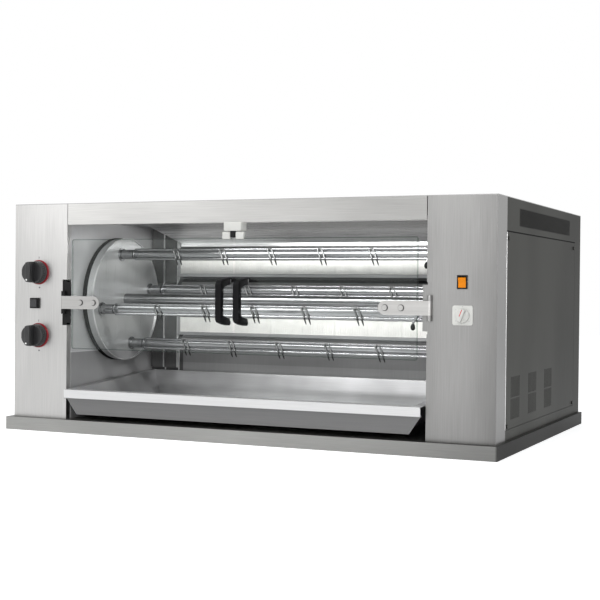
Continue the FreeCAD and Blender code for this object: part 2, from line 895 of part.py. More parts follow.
# Burners with their ceramic tiles
def burner(level):
    low, high = f"{level}_burner_low", f"{level}_burner_high"
    x = ("-burner_left", "burner_right")
    body = block(f"{level}_burner_body", x, (BURNER_FRONT, f"{BURNER_FRONT} + burner_depth"), (low, high))
    throat = f"{BURNER_FRONT} + tile_set_back + tile_depth"
    mouth = block(
        f"{level}_burner_mouth",
        ("burner_border - burner_left", "burner_right - burner_border"),
        (f"{BURNER_FRONT} - overshoot", f"{throat} + overshoot"),
        (f"{low} + burner_border", f"{high} - burner_border"),
    )
    plenum = block(
        f"{level}_burner_plenum",
        ("burner_wall - burner_left", "burner_right - burner_wall"),
        (throat, f"{BURNER_FRONT} + burner_depth - burner_wall"),
        (f"{low} + burner_wall", f"{high} - burner_wall"),
    )
    piece(cut(f"{level}_burner", body, [mouth, plenum]), f"{level}_burner")
    width = "(burner_left + burner_right - 2 * burner_border) / tile_count"
    tiles = []
    for number in range(int(size("tile_count"))):
        start = f"burner_border - burner_left + {number} * {width}"
        tiles.append(
            block(
                f"{level}_tile_{number}",
                (f"{start} + tile_joint / 2", f"{start} + {width} - tile_joint / 2"),
                (f"{BURNER_FRONT} + tile_set_back", throat),
                (f"{low} + burner_border + seat_gap", f"{high} - burner_border - seat_gap"),
            )
        )
    piece(group(f"{level}_ceramic_tiles", tiles), f"{level}_ceramic_tiles")


# Gear wheels
def involute(base_radius, radius):
    """The turn of an involute at a radius, from its start on the base circle."""
    if radius <= base_radius:
        return 0.0
    angle = math.acos(base_radius / radius)
    return math.tan(angle) - angle


def gear_face(module, teeth, slack):
    """A spur gear's outline about the X axis, with a tooth centred on +Y."""
    pressure = math.radians(25)
    pitch = module * teeth / 2
    base = pitch * math.cos(pressure)
    root = pitch - 1.2 * module
    tip = pitch + 0.9 * module
    half = math.pi / teeth * 2 * slack / 2
    radii = [max(root, base), (max(root, base) + pitch) / 2, pitch, (pitch + tip) / 2, tip]
    offsets = [half + involute(base, pitch) - involute(base, radius) for radius in radii]
    points = []
    for tooth in range(teeth):
        middle = 2 * math.pi * tooth / teeth
        flank = [(root, offsets[0])] + list(zip(radii, offsets))
        if radii[0] <= root:
            flank = flank[1:]
        for radius, offset in flank:
            points.append((radius, middle - offset))
        for radius, offset in reversed(flank):
            points.append((radius, middle + offset))
    corners = [FreeCAD.Vector(0, r * math.cos(a), r * math.sin(a)) for r, a in points]
    corners.append(corners[0])
    return Part.Face(Part.makePolygon(corners))


def gear(name, module, teeth, width, bore, turn):
    """A gear from x = 0 to its width, read from the sheet."""
    face = gear_face(size(module), int(size(teeth)), size("gear_slack"))
    wheel = face.extrude(FreeCAD.Vector(size(width), 0, 0))
    axis = FreeCAD.Vector(1, 0, 0)
    if size(bore) > 0:
        wheel = wheel.cut(Part.makeCylinder(size(bore), size(width), FreeCAD.Vector(), axis))
    wheel.rotate(FreeCAD.Vector(), axis, turn)
    item = doc.addObject("Part::Feature", name)
    item.Shape = wheel
    return item


def set_place(item, x, y, z):
    item.Placement.Base = FreeCAD.Vector(size(x), size(y), size(z))
    return item


# Rotor: drum, tube, right wheel, drive gear and the fixed sun gear
def orbit_place(number):
    """The centre of one spit, as formulas for Y and Z."""
    angle = f"(spit_phase + {90 * number}) * 1 deg"
    return f"{AXIS_Y} + orbit * cos({angle})", f"{AXIS_Z} + orbit * sin({angle})"


def make_rotor():
    rim_back = f"drum_gap - {OPENING}"
    inside = f"{DRUM_FACE} - drum_sheet"
    hub_end = f"{DRUM_FACE} - drum_sheet - hub_length"
    profile = [
        (rim_back, "drum_radius - drum_rim"),
        (inside, "drum_radius - drum_rim"),
        (inside, "hub_radius"),
        (hub_end, "hub_radius"),
        (hub_end, "tube_radius"),
        (DRUM_FACE, "tube_radius"),
        (DRUM_FACE, "drum_radius"),
        (rim_back, "drum_radius"),
    ]
    drum = turned("drum_shell", "X", profile, ("0", AXIS_Y, AXIS_Z))
    holes = []
    for number in range(4):
        radius = "journal_radius + running_fit"
        holes.append(
            rod(f"drum_hole_{number}", "X", orbit_place(number), radius, f"{inside} - overshoot", f"{DRUM_FACE} + overshoot")
        )
    piece(cut("drum_carrier", drum, holes), "drum_carrier")

    centre = (AXIS_Y, AXIS_Z)
    tail = f"{OPENING} + panel + bearing_width - overshoot"
    tube = ring("central_tube", "X", centre, "tube_radius", "tube_bore", f"-{OPENING} - tube_tail", tail)
    piece(tube, "central_tube")

    wheel_right = "wheel_left + wheel_width"
    hub = rod("wheel_hub_part", "X", centre, "wheel_hub", "wheel_left", "wheel_left + wheel_hub_width")
    parts = [hub]
    for number in range(4):
        arm = doc.addObject("Part::Box", f"wheel_arm_{number}")
        angle = f"(spit_phase + {90 * number})"
        bind(arm, "Length", "wheel_width")
        bind(arm, "Width", "orbit")
        bind(arm, "Height", "wheel_arm")
        arm.Placement.Rotation = FreeCAD.Rotation(FreeCAD.Vector(1, 0, 0), size(angle))
        bind(arm, "Placement.Rotation.Angle", angle)
        bind(arm, "Placement.Base.x", "wheel_left")
        bind(arm, "Placement.Base.y", f"{AXIS_Y} + wheel_arm / 2 * sin({angle} * 1 deg)")
        bind(arm, "Placement.Base.z", f"{AXIS_Z} - wheel_arm / 2 * cos({angle} * 1 deg)")
        parts.append(arm)
        eye = rod(f"wheel_eye_{number}", "X", orbit_place(number), "wheel_eye", "wheel_left", wheel_right)
        parts.append(eye)
    hub_end = "wheel_left + wheel_hub_width"
    holes = [rod("wheel_bore", "X", centre, "tube_radius", "wheel_left - overshoot", f"{hub_end} + overshoot")]
    for number in range(4):
        radius = "pin_radius + running_fit"
        name = f"wheel_hole_{number}"
        holes.append(rod(name, "X", orbit_place(number), radius, "wheel_left - overshoot", f"{wheel_right} + overshoot"))
    piece(cut("right_wheel", fuse("wheel_solid", parts), holes), "right_wheel")

    wheel = gear("drive_gear", "drive_module", "drive_teeth", "drive_width", "hub_radius", 0)
    set_place(wheel, f"-{OPENING} - drive_inset", AXIS_Y, AXIS_Z)
    piece(wheel, "drive_gear")

    sun = gear("sun_gear", "gear_module", "sun_teeth", "sun_width", "hub_radius + hub_gap", 0)
    set_place(sun, f"-{OPENING}", AXIS_Y, AXIS_Z)
    piece(sun, "sun_gear")


def make_bearings():
    centre = (AXIS_Y, AXIS_Z)
    wall = f"{OPENING} + panel"
    left = ring(
        "left_bearing", "X", centre, "hub_radius + bearing_ring", "hub_radius + running_fit",
        f"-({wall} + bearing_width)", f"-({wall})",
    )
    right = ring(
        "right_bearing", "X", centre, "tube_radius + bearing_ring", "tube_radius + running_fit",
        wall, f"{wall} + bearing_width",
    )
    piece(group("shaft_bearings", [left, right]), "shaft_bearings")


# Planet sockets and spits
def planet_socket(number):
    name = f"planet_socket_{number + 1}"
    back = f"planet_gap - {OPENING}"
    gear_end = f"{back} + planet_width"
    inside = f"{DRUM_FACE} - drum_sheet - end_play"
    outside = f"{DRUM_FACE} + end_play"
    flange = f"{outside} + flange_width"
    mouth = f"{flange} + socket_length"
    bore = "tang_radius + tang_fit"
    bottom = f"{mouth} - tang_length"
    profile = [
        (back, "0"),
        (back, "journal_radius"),
        (gear_end, "journal_radius"),
        (gear_end, "collar_radius"),
        (inside, "collar_radius"),
        (inside, "journal_radius"),
        (outside, "journal_radius"),
        (outside, "flange_radius"),
        (flange, "flange_radius"),
        (flange, "socket_radius"),
        (mouth, "socket_radius"),
        (mouth, bore),
        (bottom, bore),
        (bottom, "0"),
    ]
    y, z = orbit_place(number)
    shaft = turned(name + "_shaft", "X", profile, ("0", y, z))
    wheel = gear(name + "_gear", "gear_module", "planet_teeth", "planet_width", "0", planet_turn())
    set_place(wheel, back, y, z)
    piece(fuse(name, [shaft, wheel]), name)


def planet_turn():
    """The turn that sets a planet's gap on the sun's tooth, the same for all four."""
    phase = size("spit_phase")
    ratio = size("sun_teeth") / size("planet_teeth")
    gap = 180 / size("planet_teeth")
    return phase + 180 + gap + ratio * phase


def wire(name, points, radius):
    """A round wire bent at points given about a spit's axis, with ball corners."""
    place = [FreeCAD.Vector(*(size(c) for c in point)) for point in points]
    solid = None
    for start, end in zip(place, place[1:]):
        run = Part.makeCylinder(size(radius), (end - start).Length, start, end - start)
        ball = Part.makeSphere(size(radius), end)
        solid = run.fuse(ball) if solid is None else solid.fuse([run, ball])
    item = doc.addObject("Part::Feature", name)
    item.Shape = solid.removeSplitter()
    return item


def spit(number):
    name = f"spit_{number + 1}"
    y, z = orbit_place(number)
    half = "(channel_height / 2)"
    face = "(-channel_depth / 2)"
    start, end = "-spit_start", "spit_end"
    profile = [
        (face, f"-{half}"),
        (f"{face} + channel_depth", f"-{half}"),
        (f"{face} + channel_depth", f"channel_sheet - {half}"),
        (f"{face} + channel_sheet", f"channel_sheet - {half}"),
        (f"{face} + channel_sheet", f"{half} - channel_sheet"),
        (f"{face} + channel_depth", f"{half} - channel_sheet"),
        (f"{face} + channel_depth", half),
        (face, half),
    ]
    parts = [extrusion(name + "_channel", "YZ", profile, start, end)]
    ends = [
        (f"{start} - tang_length + overshoot", "0"),
        (f"{start} - tang_length + overshoot", "tang_radius"),
        (start, "tang_radius"),
        (start, "end_disc"),
        (f"{start} + end_disc_width", "end_disc"),
        (f"{start} + end_disc_width", "0"),
    ]
    parts.append(turned(name + "_tang", "X", ends, ("0", "0", "0")))
    ends = [
        (f"{end} - end_disc_width", "0"),
        (f"{end} - end_disc_width", "end_disc"),
        (end, "end_disc"),
        (end, "pin_radius"),
        (f"{end} + pin_length", "pin_radius"),
        (f"{end} + pin_length", "0"),
    ]
    parts.append(turned(name + "_pin", "X", ends, ("0", "0", "0")))
    front = f"{face} - fork_wire + fork_bite"
    for fork in range(int(size("fork_count"))):
        middle = f"(fork_pitch * ({fork} - (fork_count - 1) / 2))"
        for side in (-1, 1):
            points = [
                (f"{middle} - {side} * fork_splay / 2", front, f"{half} - fork_wire"),
                (f"{middle} + {side} * fork_splay / 3", front, f"-{half} + fork_wire"),
                (f"{middle} + {side} * fork_splay", f"{front} - fork_wire", "-fork_reach + fork_wire"),
            ]
            parts.append(wire(f"{name}_fork_{fork}_{side + 1}", points, "fork_wire"))
    bend = f"{face} - grip_out / 2"
    points = [
        (f"{end} - end_disc_width / 2", f"{face} + channel_sheet / 2", "0"),
        (f"{end} - grip_out", bend, "0"),
        (f"{end} - 2 * grip_out", bend, "-grip_drop"),
    ]
    parts.append(wire(name + "_hook", points, "grip_wire"))
    steel = fuse(name + "_steel", parts)
    bulb = [
        ("0", "0"),
        ("-overshoot", "bulb_radius * 0.6"),
        ("-bulb_length * 0.35", "bulb_radius"),
        ("-bulb_length * 0.75", "bulb_radius"),
        ("-bulb_length", "bulb_radius * 0.5"),
        ("-bulb_length", "0"),
    ]
    drop = turned(name + "_bulb", "Z", bulb, (f"{end} - 2 * grip_out", bend, "-grip_drop - grip_wire"))
    whole = group(name, [steel, drop])
    bind(whole, "Placement.Base.y", y)
    bind(whole, "Placement.Base.z", z)
    piece(whole, name)


# Gearmotor with its bracket, and the pinion
def make_gearmotor():
    left = "-motor_plate_left"
    wall = f"-({OPENING} + panel)"
    middle = (MOTOR_Y, AXIS_Z)
    plate = block(
        "motor_plate_sheet",
        (left, f"{left} + motor_plate"),
        (f"{MOTOR_Y} - post_near - plate_border", f"{MOTOR_Y} + post_far + plate_border"),
        centred(AXIS_Z, "2 * (post_high + plate_border)"),
    )
    can = rod("motor_can", "X", middle, "motor_radius", f"{left} - motor_length", left)
    radius = "motor_shaft + running_fit"
    bore = rod("motor_bore", "X", middle, radius, f"{left} - shaft_depth - overshoot", f"{left} + motor_plate + overshoot")
    posts = []
    for number, up in enumerate((-1, 1)):
        near = (f"{MOTOR_Y} - post_near", f"{AXIS_Z} + {up} * post_high")
        far = (f"{MOTOR_Y} + post_far", f"{AXIS_Z} + {up} * post_low")
        for place, centre in (("near", near), ("far", far)):
            name = f"motor_post_{place}_{number}"
            posts.append(rod(name, "X", centre, "post_radius", f"{left} + motor_plate", wall))
    solid = fuse("gearmotor_solid", [plate, can] + posts)
    piece(cut("gearmotor", solid, [bore]), "gearmotor")

    turn = 180 + 180 / size("pinion_teeth")
    wheel = gear("pinion_wheel", "drive_module", "pinion_teeth", "drive_width", "0", turn)
    set_place(wheel, f"-{OPENING} - drive_inset", MOTOR_Y, AXIS_Z)
    shaft_end = f"-{OPENING} - drive_inset + overshoot"
    shaft = rod("pinion_shaft", "X", middle, "motor_shaft", f"{left} - shaft_depth", shaft_end)
    piece(fuse("motor_pinion", [wheel, shaft]), "motor_pinion")


# Gas valves, pipes and inlet
def make_gas_fittings():
    valves = []
    for level in ("upper", "lower"):
        centre = ("-knob_x", f"{level}_knob_height")
        body = block(
            f"{level}_valve_body",
            centred("-knob_x", "valve_width"),
            (f"{FRONT} + valve_front", f"{FRONT} + valve_back"),
            centred(centre[1], "valve_height"),
        )
        nose_ends = (f"{FRONT} + panel", f"{FRONT} + valve_front")
        nose = rod(f"{level}_valve_nose", "Y", centre, "valve_nose", *nose_ends)
        bore = rod(
            f"{level}_valve_bore", "Y", centre, "spindle_radius + running_fit",
            f"{FRONT} - overshoot", f"{FRONT} + spindle_length + 2 * overshoot",
        )
        valves.append(cut(f"{level}_valve", fuse(f"{level}_valve_solid", [body, nose]), [bore]))
    piece(group("gas_valves", valves), "gas_valves")

    pipes = []
    for level in ("upper", "lower"):
        z = f"{level}_knob_height"
        feed_y = f"{FRONT} + feed_back"
        pipes_of = [
            rod(f"{level}_feed", "Y", ("-knob_x", z), "pipe_radius", f"{FRONT} + valve_back", feed_y),
            rod(f"{level}_cross", "X", (feed_y, z), "pipe_radius", "-knob_x", "-burner_left"),
            corner_ball(f"{level}_elbow", "-knob_x", feed_y, z),
        ]
        pipes.append(fuse(f"{level}_feed_pipe", pipes_of))
    manifold_y = f"{FRONT} + manifold_back"
    ends = ("inlet_height", "upper_knob_height")
    upright = rod("manifold_upright", "Z", ("-manifold_x", manifold_y), "pipe_radius", *ends)
    supply = [upright, corner_ball("manifold_low", "-manifold_x", manifold_y, "inlet_height")]
    supply.append(corner_ball("manifold_top", "-manifold_x", manifold_y, "upper_knob_height"))
    for level in ("upper", "lower"):
        centre = (manifold_y, f"{level}_knob_height")
        valve_side = "-knob_x - valve_width / 2"
        supply.append(rod(f"{level}_stub", "X", centre, "pipe_radius", "-manifold_x", valve_side))
    low = ("-manifold_x", "inlet_height")
    supply.append(rod("supply_run", "Y", low, "pipe_radius", manifold_y, BACK))
    seat = f"{BACK} + inlet_step"
    supply.append(rod("inlet_neck_part", "Y", low, "inlet_neck", f"{BACK} - inlet_tail", seat))
    supply.append(rod("inlet_stub", "Y", low, "inlet_radius", seat, f"{seat} + inlet_length"))
    ends = (f"{BACK} - panel - nut_width", f"{BACK} - panel")
    supply.append(rod("inlet_nut_part", "Y", low, "inlet_nut", *ends))
    pipes.append(fuse("supply_pipe", supply))
    piece(group("gas_pipework", pipes), "gas_pipework")


def corner_ball(name, x, y, z):
    item = doc.addObject("Part::Sphere", name)
    bind(item, "Radius", "pipe_radius")
    for corner, formula in zip("xyz", (x, y, z)):
        bind(item, f"Placement.Base.{corner}", formula)
    return item


# Gas knobs and bezels
def knob_slice(name, height, left, right, depth, seat):
    """The part of a knob's round front between two upright cuts."""
    cutter = block(
        name + "_block",
        (f"-knob_x - {left}", f"{right} - knob_x"),
        (f"{FRONT} - {depth}", seat),
        centred(height, "2 * knob_radius"),
    )
    ends = (f"{FRONT} - {depth}", seat)
    round_part = rod(name + "_round", "Y", ("-knob_x", height), "knob_radius - knob_draft - overshoot", *ends)
    item = doc.addObject("Part::Common", name)
    item.Base = cutter
    item.Tool = round_part
    return item


def make_knobs():
    bezels = []
    for level in ("upper", "lower"):
        height = f"{level}_knob_height"
        centre = ("-knob_x", height)
        bezels.append(
            ring(
                f"{level}_bezel", "Y", centre, "bezel_radius", "spindle_hole",
                f"{FRONT} - bezel_width", FRONT,
            )
        )
        rear = "-bezel_width - knob_gap"
        skirt = f"{rear} - knob_skirt"
        profile = [
            ("spindle_length", "0"),
            ("spindle_length", "spindle_radius"),
            (rear, "spindle_radius"),
            (rear, "knob_radius"),
            (skirt, "knob_radius"),
            (f"{skirt} - knob_step", "knob_radius - knob_draft"),
            ("-knob_crown", "knob_radius - knob_draft - overshoot"),
            ("-knob_crown", "0"),
        ]
        turned_part = turned(f"{level}_knob_turned", "Y", profile, ("-knob_x", FRONT, height))
        seat = f"{FRONT} - knob_crown + overshoot"
        grips = [
            knob_slice(f"{level}_knob_shoulder", height, "knob_radius", "shoulder_right", "shoulder_depth", seat),
            knob_slice(f"{level}_knob_bar", height, "knob_bar_left", "knob_bar_right", "knob_depth", seat),
        ]
        piece(fuse(f"{level}_knob", [turned_part] + grips), f"{level}_knob")
    piece(group("knob_bezels", bezels), "knob_bezels")


# Igniter housing and button
def make_igniter():
    centre = ("-igniter_x", "igniter_height")
    front = f"{FRONT} - igniter_frame"
    frame = block(
        "igniter_frame_block",
        centred("-igniter_x", "igniter_width"),
        (front, FRONT),
        centred("igniter_height", "igniter_tall"),
    )
    barrel = rod("igniter_barrel", "Y", centre, "barrel_radius", f"{FRONT} - overshoot", f"{FRONT} + barrel_length")
    recess = block(
        "igniter_recess",
        centred("-igniter_x", "igniter_width - 2 * igniter_border"),
        (f"{front} - overshoot", f"{FRONT} - igniter_floor"),
        centred("igniter_height", "igniter_tall - 2 * igniter_border"),
    )
    bore = rod(
        "igniter_bore", "Y", centre, "plunger_radius + running_fit",
        f"{FRONT} - igniter_floor - overshoot", f"{FRONT} + barrel_length - 2 * overshoot",
    )
    piece(cut("igniter_housing", fuse("igniter_solid", [frame, barrel]), [recess, bore]), "igniter_housing")
    rear = f"{FRONT} - igniter_floor - igniter_travel - button_gap"
    cap = block(
        "igniter_cap",
        centred("-igniter_x", "igniter_width - 2 * igniter_border - 2 * button_gap"),
        (f"{front} - button_proud", rear),
        centred("igniter_height", "igniter_tall - 2 * igniter_border - 2 * button_gap"),
    )
    plunger = rod("igniter_plunger", "Y", centre, "plunger_radius", f"{rear} - overshoot", f"{rear} + plunger_length")
    piece(fuse("igniter_button", [cap, plunger]), "igniter_button")


# Rocker switch
def make_rocker():
    inner_width = "(rocker_frame_width - 2 * rocker_border)"
    inner_tall = "(rocker_frame_tall - 2 * rocker_border)"
    frame = block(
        "rocker_frame_block",
        centred("rocker_x", "rocker_frame_width"),
        (f"{FRONT} - rocker_frame_proud", FRONT),
        centred("rocker_height", "rocker_frame_tall"),
    )
    housing = block(
        "rocker_housing",
        centred("rocker_x", f"{inner_width} + 2 * panel"),
        (f"{FRONT} - overshoot", f"{FRONT} + rocker_body_depth"),
        centred("rocker_height", f"{inner_tall} + 2 * panel"),
    )
    recess = block(
        "rocker_recess",
        centred("rocker_x", inner_width),
        (f"{FRONT} - rocker_frame_proud - overshoot", f"{FRONT} + rocker_body_depth - 2 * overshoot"),
        centred("rocker_height", inner_tall),
    )
    pivot = (f"{FRONT} + rocker_pivot", "rocker_height")
    reach = f"({inner_width} / 2 + trunnion_length + socket_play)"
    ends = (f"rocker_x - {reach}", f"rocker_x + {reach}")
    sockets = rod("rocker_sockets", "X", pivot, "trunnion_radius + running_fit", *ends)
    solid = fuse("rocker_frame_solid", [frame, housing])
    piece(cut("rocker_frame", solid, [recess, sockets]), "rocker_frame")

    half = f"({inner_tall} / 2 - rocker_end_gap)"
    width = f"({inner_width} / 2 - rocker_side_gap)"
    profile = [
        (f"-rocker_pivot - rocker_end", f"-{half}"),
        (f"-rocker_pivot - rocker_dip", "0"),
        (f"-rocker_pivot - rocker_end", half),
        ("-rocker_edge", half),
        ("rocker_heel", "rocker_heel"),
        ("rocker_heel", "-rocker_heel"),
        ("-rocker_edge", f"-{half}"),
    ]
    paddle = extrusion("rocker_paddle", "YZ", profile, f"-{width}", width)
    tip = f"({inner_width} / 2 + trunnion_length)"
    trunnions = rod("rocker_trunnions", "X", ("0", "0"), "trunnion_radius", f"-{tip}", tip)
    switch = fuse("rocker_switch", [paddle, trunnions])
    switch.Placement.Rotation = FreeCAD.Rotation(FreeCAD.Vector(1, 0, 0), size("rocker_tilt"))
    bind(switch, "Placement.Rotation.Angle", "rocker_tilt")
    bind(switch, "Placement.Base.x", "rocker_x")
    bind(switch, "Placement.Base.y", pivot[0])
    bind(switch, "Placement.Base.z", pivot[1])
    piece(switch, "rocker_switch")


# Rotary switch
def make_dial():
    centre = ("dial_x", "dial_height")
    plate = block(
        "dial_plate",
        centred("dial_x", "dial_plate_width"),
        (f"{FRONT} - dial_plate_thick", FRONT),
        centred("dial_height", "dial_plate_tall"),
    )
    hub = rod("dial_hub_part", "Y", centre, "dial_hub", f"{FRONT} - overshoot", f"{FRONT} + dial_hub_length")
    bore = rod(
        "dial_bore", "Y", centre, "dial_spindle + running_fit",
        f"{FRONT} - dial_plate_thick - overshoot", f"{FRONT} + dial_spindle_length + overshoot",
    )
    piece(cut("switch_plate", fuse("dial_solid", [plate, hub]), [bore]), "switch_plate")
    rear = "-dial_plate_thick - knob_gap"
    profile = [
        ("dial_spindle_length", "0"),
        ("dial_spindle_length", "dial_spindle"),
        (rear, "dial_spindle"),
        (rear, "dial_radius"),
        (f"{rear} - dial_skirt", "dial_radius"),
        (f"{rear} - dial_skirt - overshoot", "dial_radius - 2 * overshoot"),
        (f"{rear} - dial_skirt - overshoot", "0"),
    ]
    knob = turned("dial_turned", "Y", profile, ("dial_x", FRONT, "dial_height"))
    bar = block(
        "dial_bar_block",
        centred("dial_x", "dial_bar"),
        (f"{FRONT} - dial_depth", f"{FRONT} - dial_plate_thick - knob_gap - dial_skirt"),
        centred("dial_height", "2 * dial_radius - 3 * overshoot"),
    )
    piece(fuse("switch_knob", [knob, bar]), "switch_knob")


# Doors and hinges
def hinge_bracket(sign):
    name = side_name(sign) + "_hinge_bracket"
    pin_centre = (f"{sign} * hinge_x", HINGE_Y)
    strap_half = "strap_tall / 2"
    gap = "seat_gap"
    reach = f"({strap_half} + {gap} + ear_tall)"
    step = "edge_step" if sign > 0 else "0"
    plate_y = (f"{FRONT} + {step} + panel", f"{FRONT} + {step} + panel + bracket_sheet")
    plate = block(
        name + "_plate",
        span(sign, f"{OPENING} + panel", "bracket_far"),
        plate_y,
        ("hinge_height - slot_half - plate_margin", "hinge_height + slot_half + plate_margin"),
    )
    leaf = block(
        name + "_leaf",
        span(sign, "leaf_near", f"{OPENING} + panel"),
        plate_y,
        ("hinge_height - leaf_half", "hinge_height + leaf_half"),
    )
    ends = (f"hinge_height - {reach}", f"hinge_height + {reach}")
    parts = [plate, leaf, rod(name + "_pin", "Z", pin_centre, "pin_of_hinge", *ends)]
    for up in (-1, 1):
        edge = f"hinge_height + {up} * ({strap_half} + {gap})"
        outer = f"hinge_height + {up} * {reach}"
        low, high = (outer, edge) if up < 0 else (edge, outer)
        parts.append(rod(f"{name}_ear_{up + 1}", "Z", pin_centre, "knuckle", low, high))
        web_x = centred(pin_centre[0], "2 * knuckle - overshoot")
        parts.append(block(f"{name}_web_{up + 1}", web_x, (HINGE_Y, plate_y[0]), (low, high)))
    piece(fuse(name, parts), name)


def hinge_strap(sign):
    """A strap rolled round the hinge pin, with its bolts and nuts as solids of their own."""
    side = side_name(sign)
    name = side + "_hinge_strap"
    pin_centre = (f"{sign} * hinge_x", HINGE_Y)
    z = centred("hinge_height", "strap_tall")
    outer_y = f"{GLASS_FRONT} - strap_sheet"
    far_end = f"({side}_strap_end + strap_tall / 2)"
    plate = block(name + "_plate", span(sign, far_end, "hinge_x"), (outer_y, GLASS_FRONT), z)
    tip_centre = (f"{sign} * {far_end}", "hinge_height")
    tip = rod(name + "_tip", "Y", tip_centre, "strap_tall / 2", outer_y, GLASS_FRONT)
    roll = rod(name + "_roll", "Z", pin_centre, "knuckle", *z)
    bridge = block(
        name + "_bridge",
        span(sign, "hinge_x - knuckle", "hinge_x"),
        (outer_y, HINGE_Y),
        z,
    )
    solid = fuse(name + "_solid", [plate, tip, roll, bridge])
    holes = [rod(name + "_bore", "Z", pin_centre, "pin_of_hinge + running_fit", f"{z[0]} - overshoot", f"{z[1]} + overshoot")]
    bolts = []
    for number in range(2):
        centre = bolt_place(sign, number)
        hole_radius = "bolt_radius + bolt_fit"
        holes.append(
            rod(f"{name}_hole_{number}", "Y", centre, hole_radius, f"{outer_y} - overshoot", f"{GLASS_FRONT} + overshoot")
        )
        bolts.append(door_bolt(f"{side}_bolt_{number}", centre, outer_y))
    strap = cut(name + "_plain", solid, holes)
    piece(group(name, [strap] + bolts), name)


def bolt_place(sign, number):
    side = side_name(sign)
    return (f"{sign} * ({side}_strap_end + bolt_near + {number} * bolt_pitch)", "hinge_height")


def door_bolt(name, centre, seat):
    nut_back = f"{GLASS_BACK} + nut_tall"
    head = rod(name + "_head", "Y", centre, "bolt_head", f"{seat} - bolt_head_tall", seat)
    shank = rod(name + "_shank", "Y", centre, "bolt_radius", f"{seat} - overshoot", nut_back)
    nut = rod(name + "_nut", "Y", centre, "nut_radius", GLASS_BACK, nut_back)
    return fuse(name, [head, shank, nut])


def door_glass(sign):
    name = side_name(sign) + "_door_glass"
    x = span(sign, "door_seam", "door_edge")
    body = extrusion(
        name + "_sheet",
        "XZ",
        [(x[0], "door_bottom"), (x[1], "door_bottom"), (x[1], "door_top"), (x[0], "door_top")],
        GLASS_FRONT,
        GLASS_BACK,
    )
    doc.recompute()
    corners = []
    for number, edge in enumerate(body.Tip.Shape.Edges, start=1):
        first, last = edge.Vertexes[0].Point, edge.Vertexes[-1].Point
        if abs(first.x - last.x) < 1e-6 and abs(first.z - last.z) < 1e-6:
            corners.append(f"Edge{number}")
    rounding = body.newObject("PartDesign::Fillet", name + "_corners")
    rounding.Base = (body.Group[1], corners)
    bind(rounding, "Radius", "glass_corner")
    body.Tip = rounding
    holes = []
    places = [bolt_place(sign, number) for number in range(2)] + handle_bolts(sign)
    for number, centre in enumerate(places):
        name_of = f"{name}_hole_{number}"
        holes.append(
            rod(name_of, "Y", centre, "bolt_radius + bolt_fit", f"{GLASS_FRONT} - overshoot", f"{GLASS_BACK} + overshoot")
        )
    piece(cut(name, body, holes), name)


def handle_bolts(sign):
    middle = "(handle_half - handle_foot / 2)"
    return [(f"{sign} * handle_x + handle_shift", f"handle_height + {up} * {middle}") for up in (-1, 1)]


def door_handle(sign):
    """A bow handle with splayed feet, and its two screws from behind the glass."""
    name = side_name(sign) + "_door_handle"
    near, far = "-handle_near", "-handle_far"
    inner_low = "(handle_grip_half - handle_foot)"
    profile = [
        ("0", "-handle_half"),
        (f"{far} + handle_corner", "-handle_grip_half - overshoot"),
        (far, "handle_corner - handle_grip_half"),
        (far, "handle_grip_half - handle_corner"),
        (f"{far} + handle_corner", "handle_grip_half + overshoot"),
        ("0", "handle_half"),
        ("0", "handle_half - handle_foot"),
        (f"{near} + handle_bend", inner_low),
        (near, f"{inner_low} - handle_bend"),
        (near, f"handle_bend - {inner_low}"),
        (f"{near} + handle_bend", f"-{inner_low}"),
        ("0", "handle_foot - handle_half"),
    ]
    grip = extrusion(name + "_grip", "YZ", profile, "-handle_width / 2", "handle_width / 2")
    bind(grip, "Placement.Base.x", f"{sign} * handle_x + handle_shift - handle_width / 2")
    bind(grip, "Placement.Base.y", GLASS_FRONT)
    bind(grip, "Placement.Base.z", "handle_height")
    screws = []
    for number, centre in enumerate(handle_bolts(sign)):
        nut_back = f"{GLASS_BACK} + nut_tall"
        head = rod(f"{name}_nut_{number}", "Y", centre, "nut_radius", GLASS_BACK, nut_back)
        shank = rod(f"{name}_shank_{number}", "Y", centre, "bolt_radius", GLASS_FRONT, nut_back)
        screws.append(head)
        screws.append(shank)
    piece(fuse(name, [grip] + screws), name)


def door_keeper(sign):
    name = side_name(sign) + "_door_keeper"
    x = span(sign, "keeper_near", "keeper_near + keeper_width")
    face_y = (f"{GLASS_FRONT} - keeper_thick", GLASS_FRONT)
    outer = block(name + "_face", x, face_y, ("keeper_low", "keeper_high"))
    cap = block(name + "_cap", x, (f"{GLASS_FRONT} - overshoot", GLASS_BACK), ("door_top + bolt_fit", "keeper_high"))
    piece(fuse(name, [outer, cap]), name)


def make_catch():
    under = f"{LID} + panel - fascia_height"
    y = (f"{FRONT} - catch_front", f"{FRONT} - catch_front + catch_depth")
    housing = block("catch_housing", ("-catch_half", "catch_half"), y, ("catch_low", under))
    magnet_y = (f"{FRONT} - magnet_front", f"{FRONT} - magnet_front + magnet_depth")
    magnet = block("catch_magnet", ("-magnet_half", "magnet_half"), magnet_y, ("magnet_low", "catch_low"))
    piece(group("door_catch", [housing, magnet]), "door_catch")


# Drip tray, built level and then tilted
def taper(name, floor_half, mouth_half, floor_y, mouth_y, low, high):
    """A tapered block that widens upwards, for the pan and its hollow."""
    item = doc.addObject("Part::Wedge", name)
    bind(item, "Xmin", f"-({floor_half})")
    bind(item, "Xmax", floor_half)
    bind(item, "X2min", f"-({mouth_half})")
    bind(item, "X2max", mouth_half)
    bind(item, "Ymin", low)
    bind(item, "Ymax", high)
    bind(item, "Zmin", f"-({floor_y[1]})")
    bind(item, "Zmax", f"-({floor_y[0]})")
    bind(item, "Z2min", f"-({mouth_y[1]})")
    bind(item, "Z2max", f"-({mouth_y[0]})")
    item.Placement.Rotation = FreeCAD.Rotation(FreeCAD.Vector(1, 0, 0), 90)
    return item


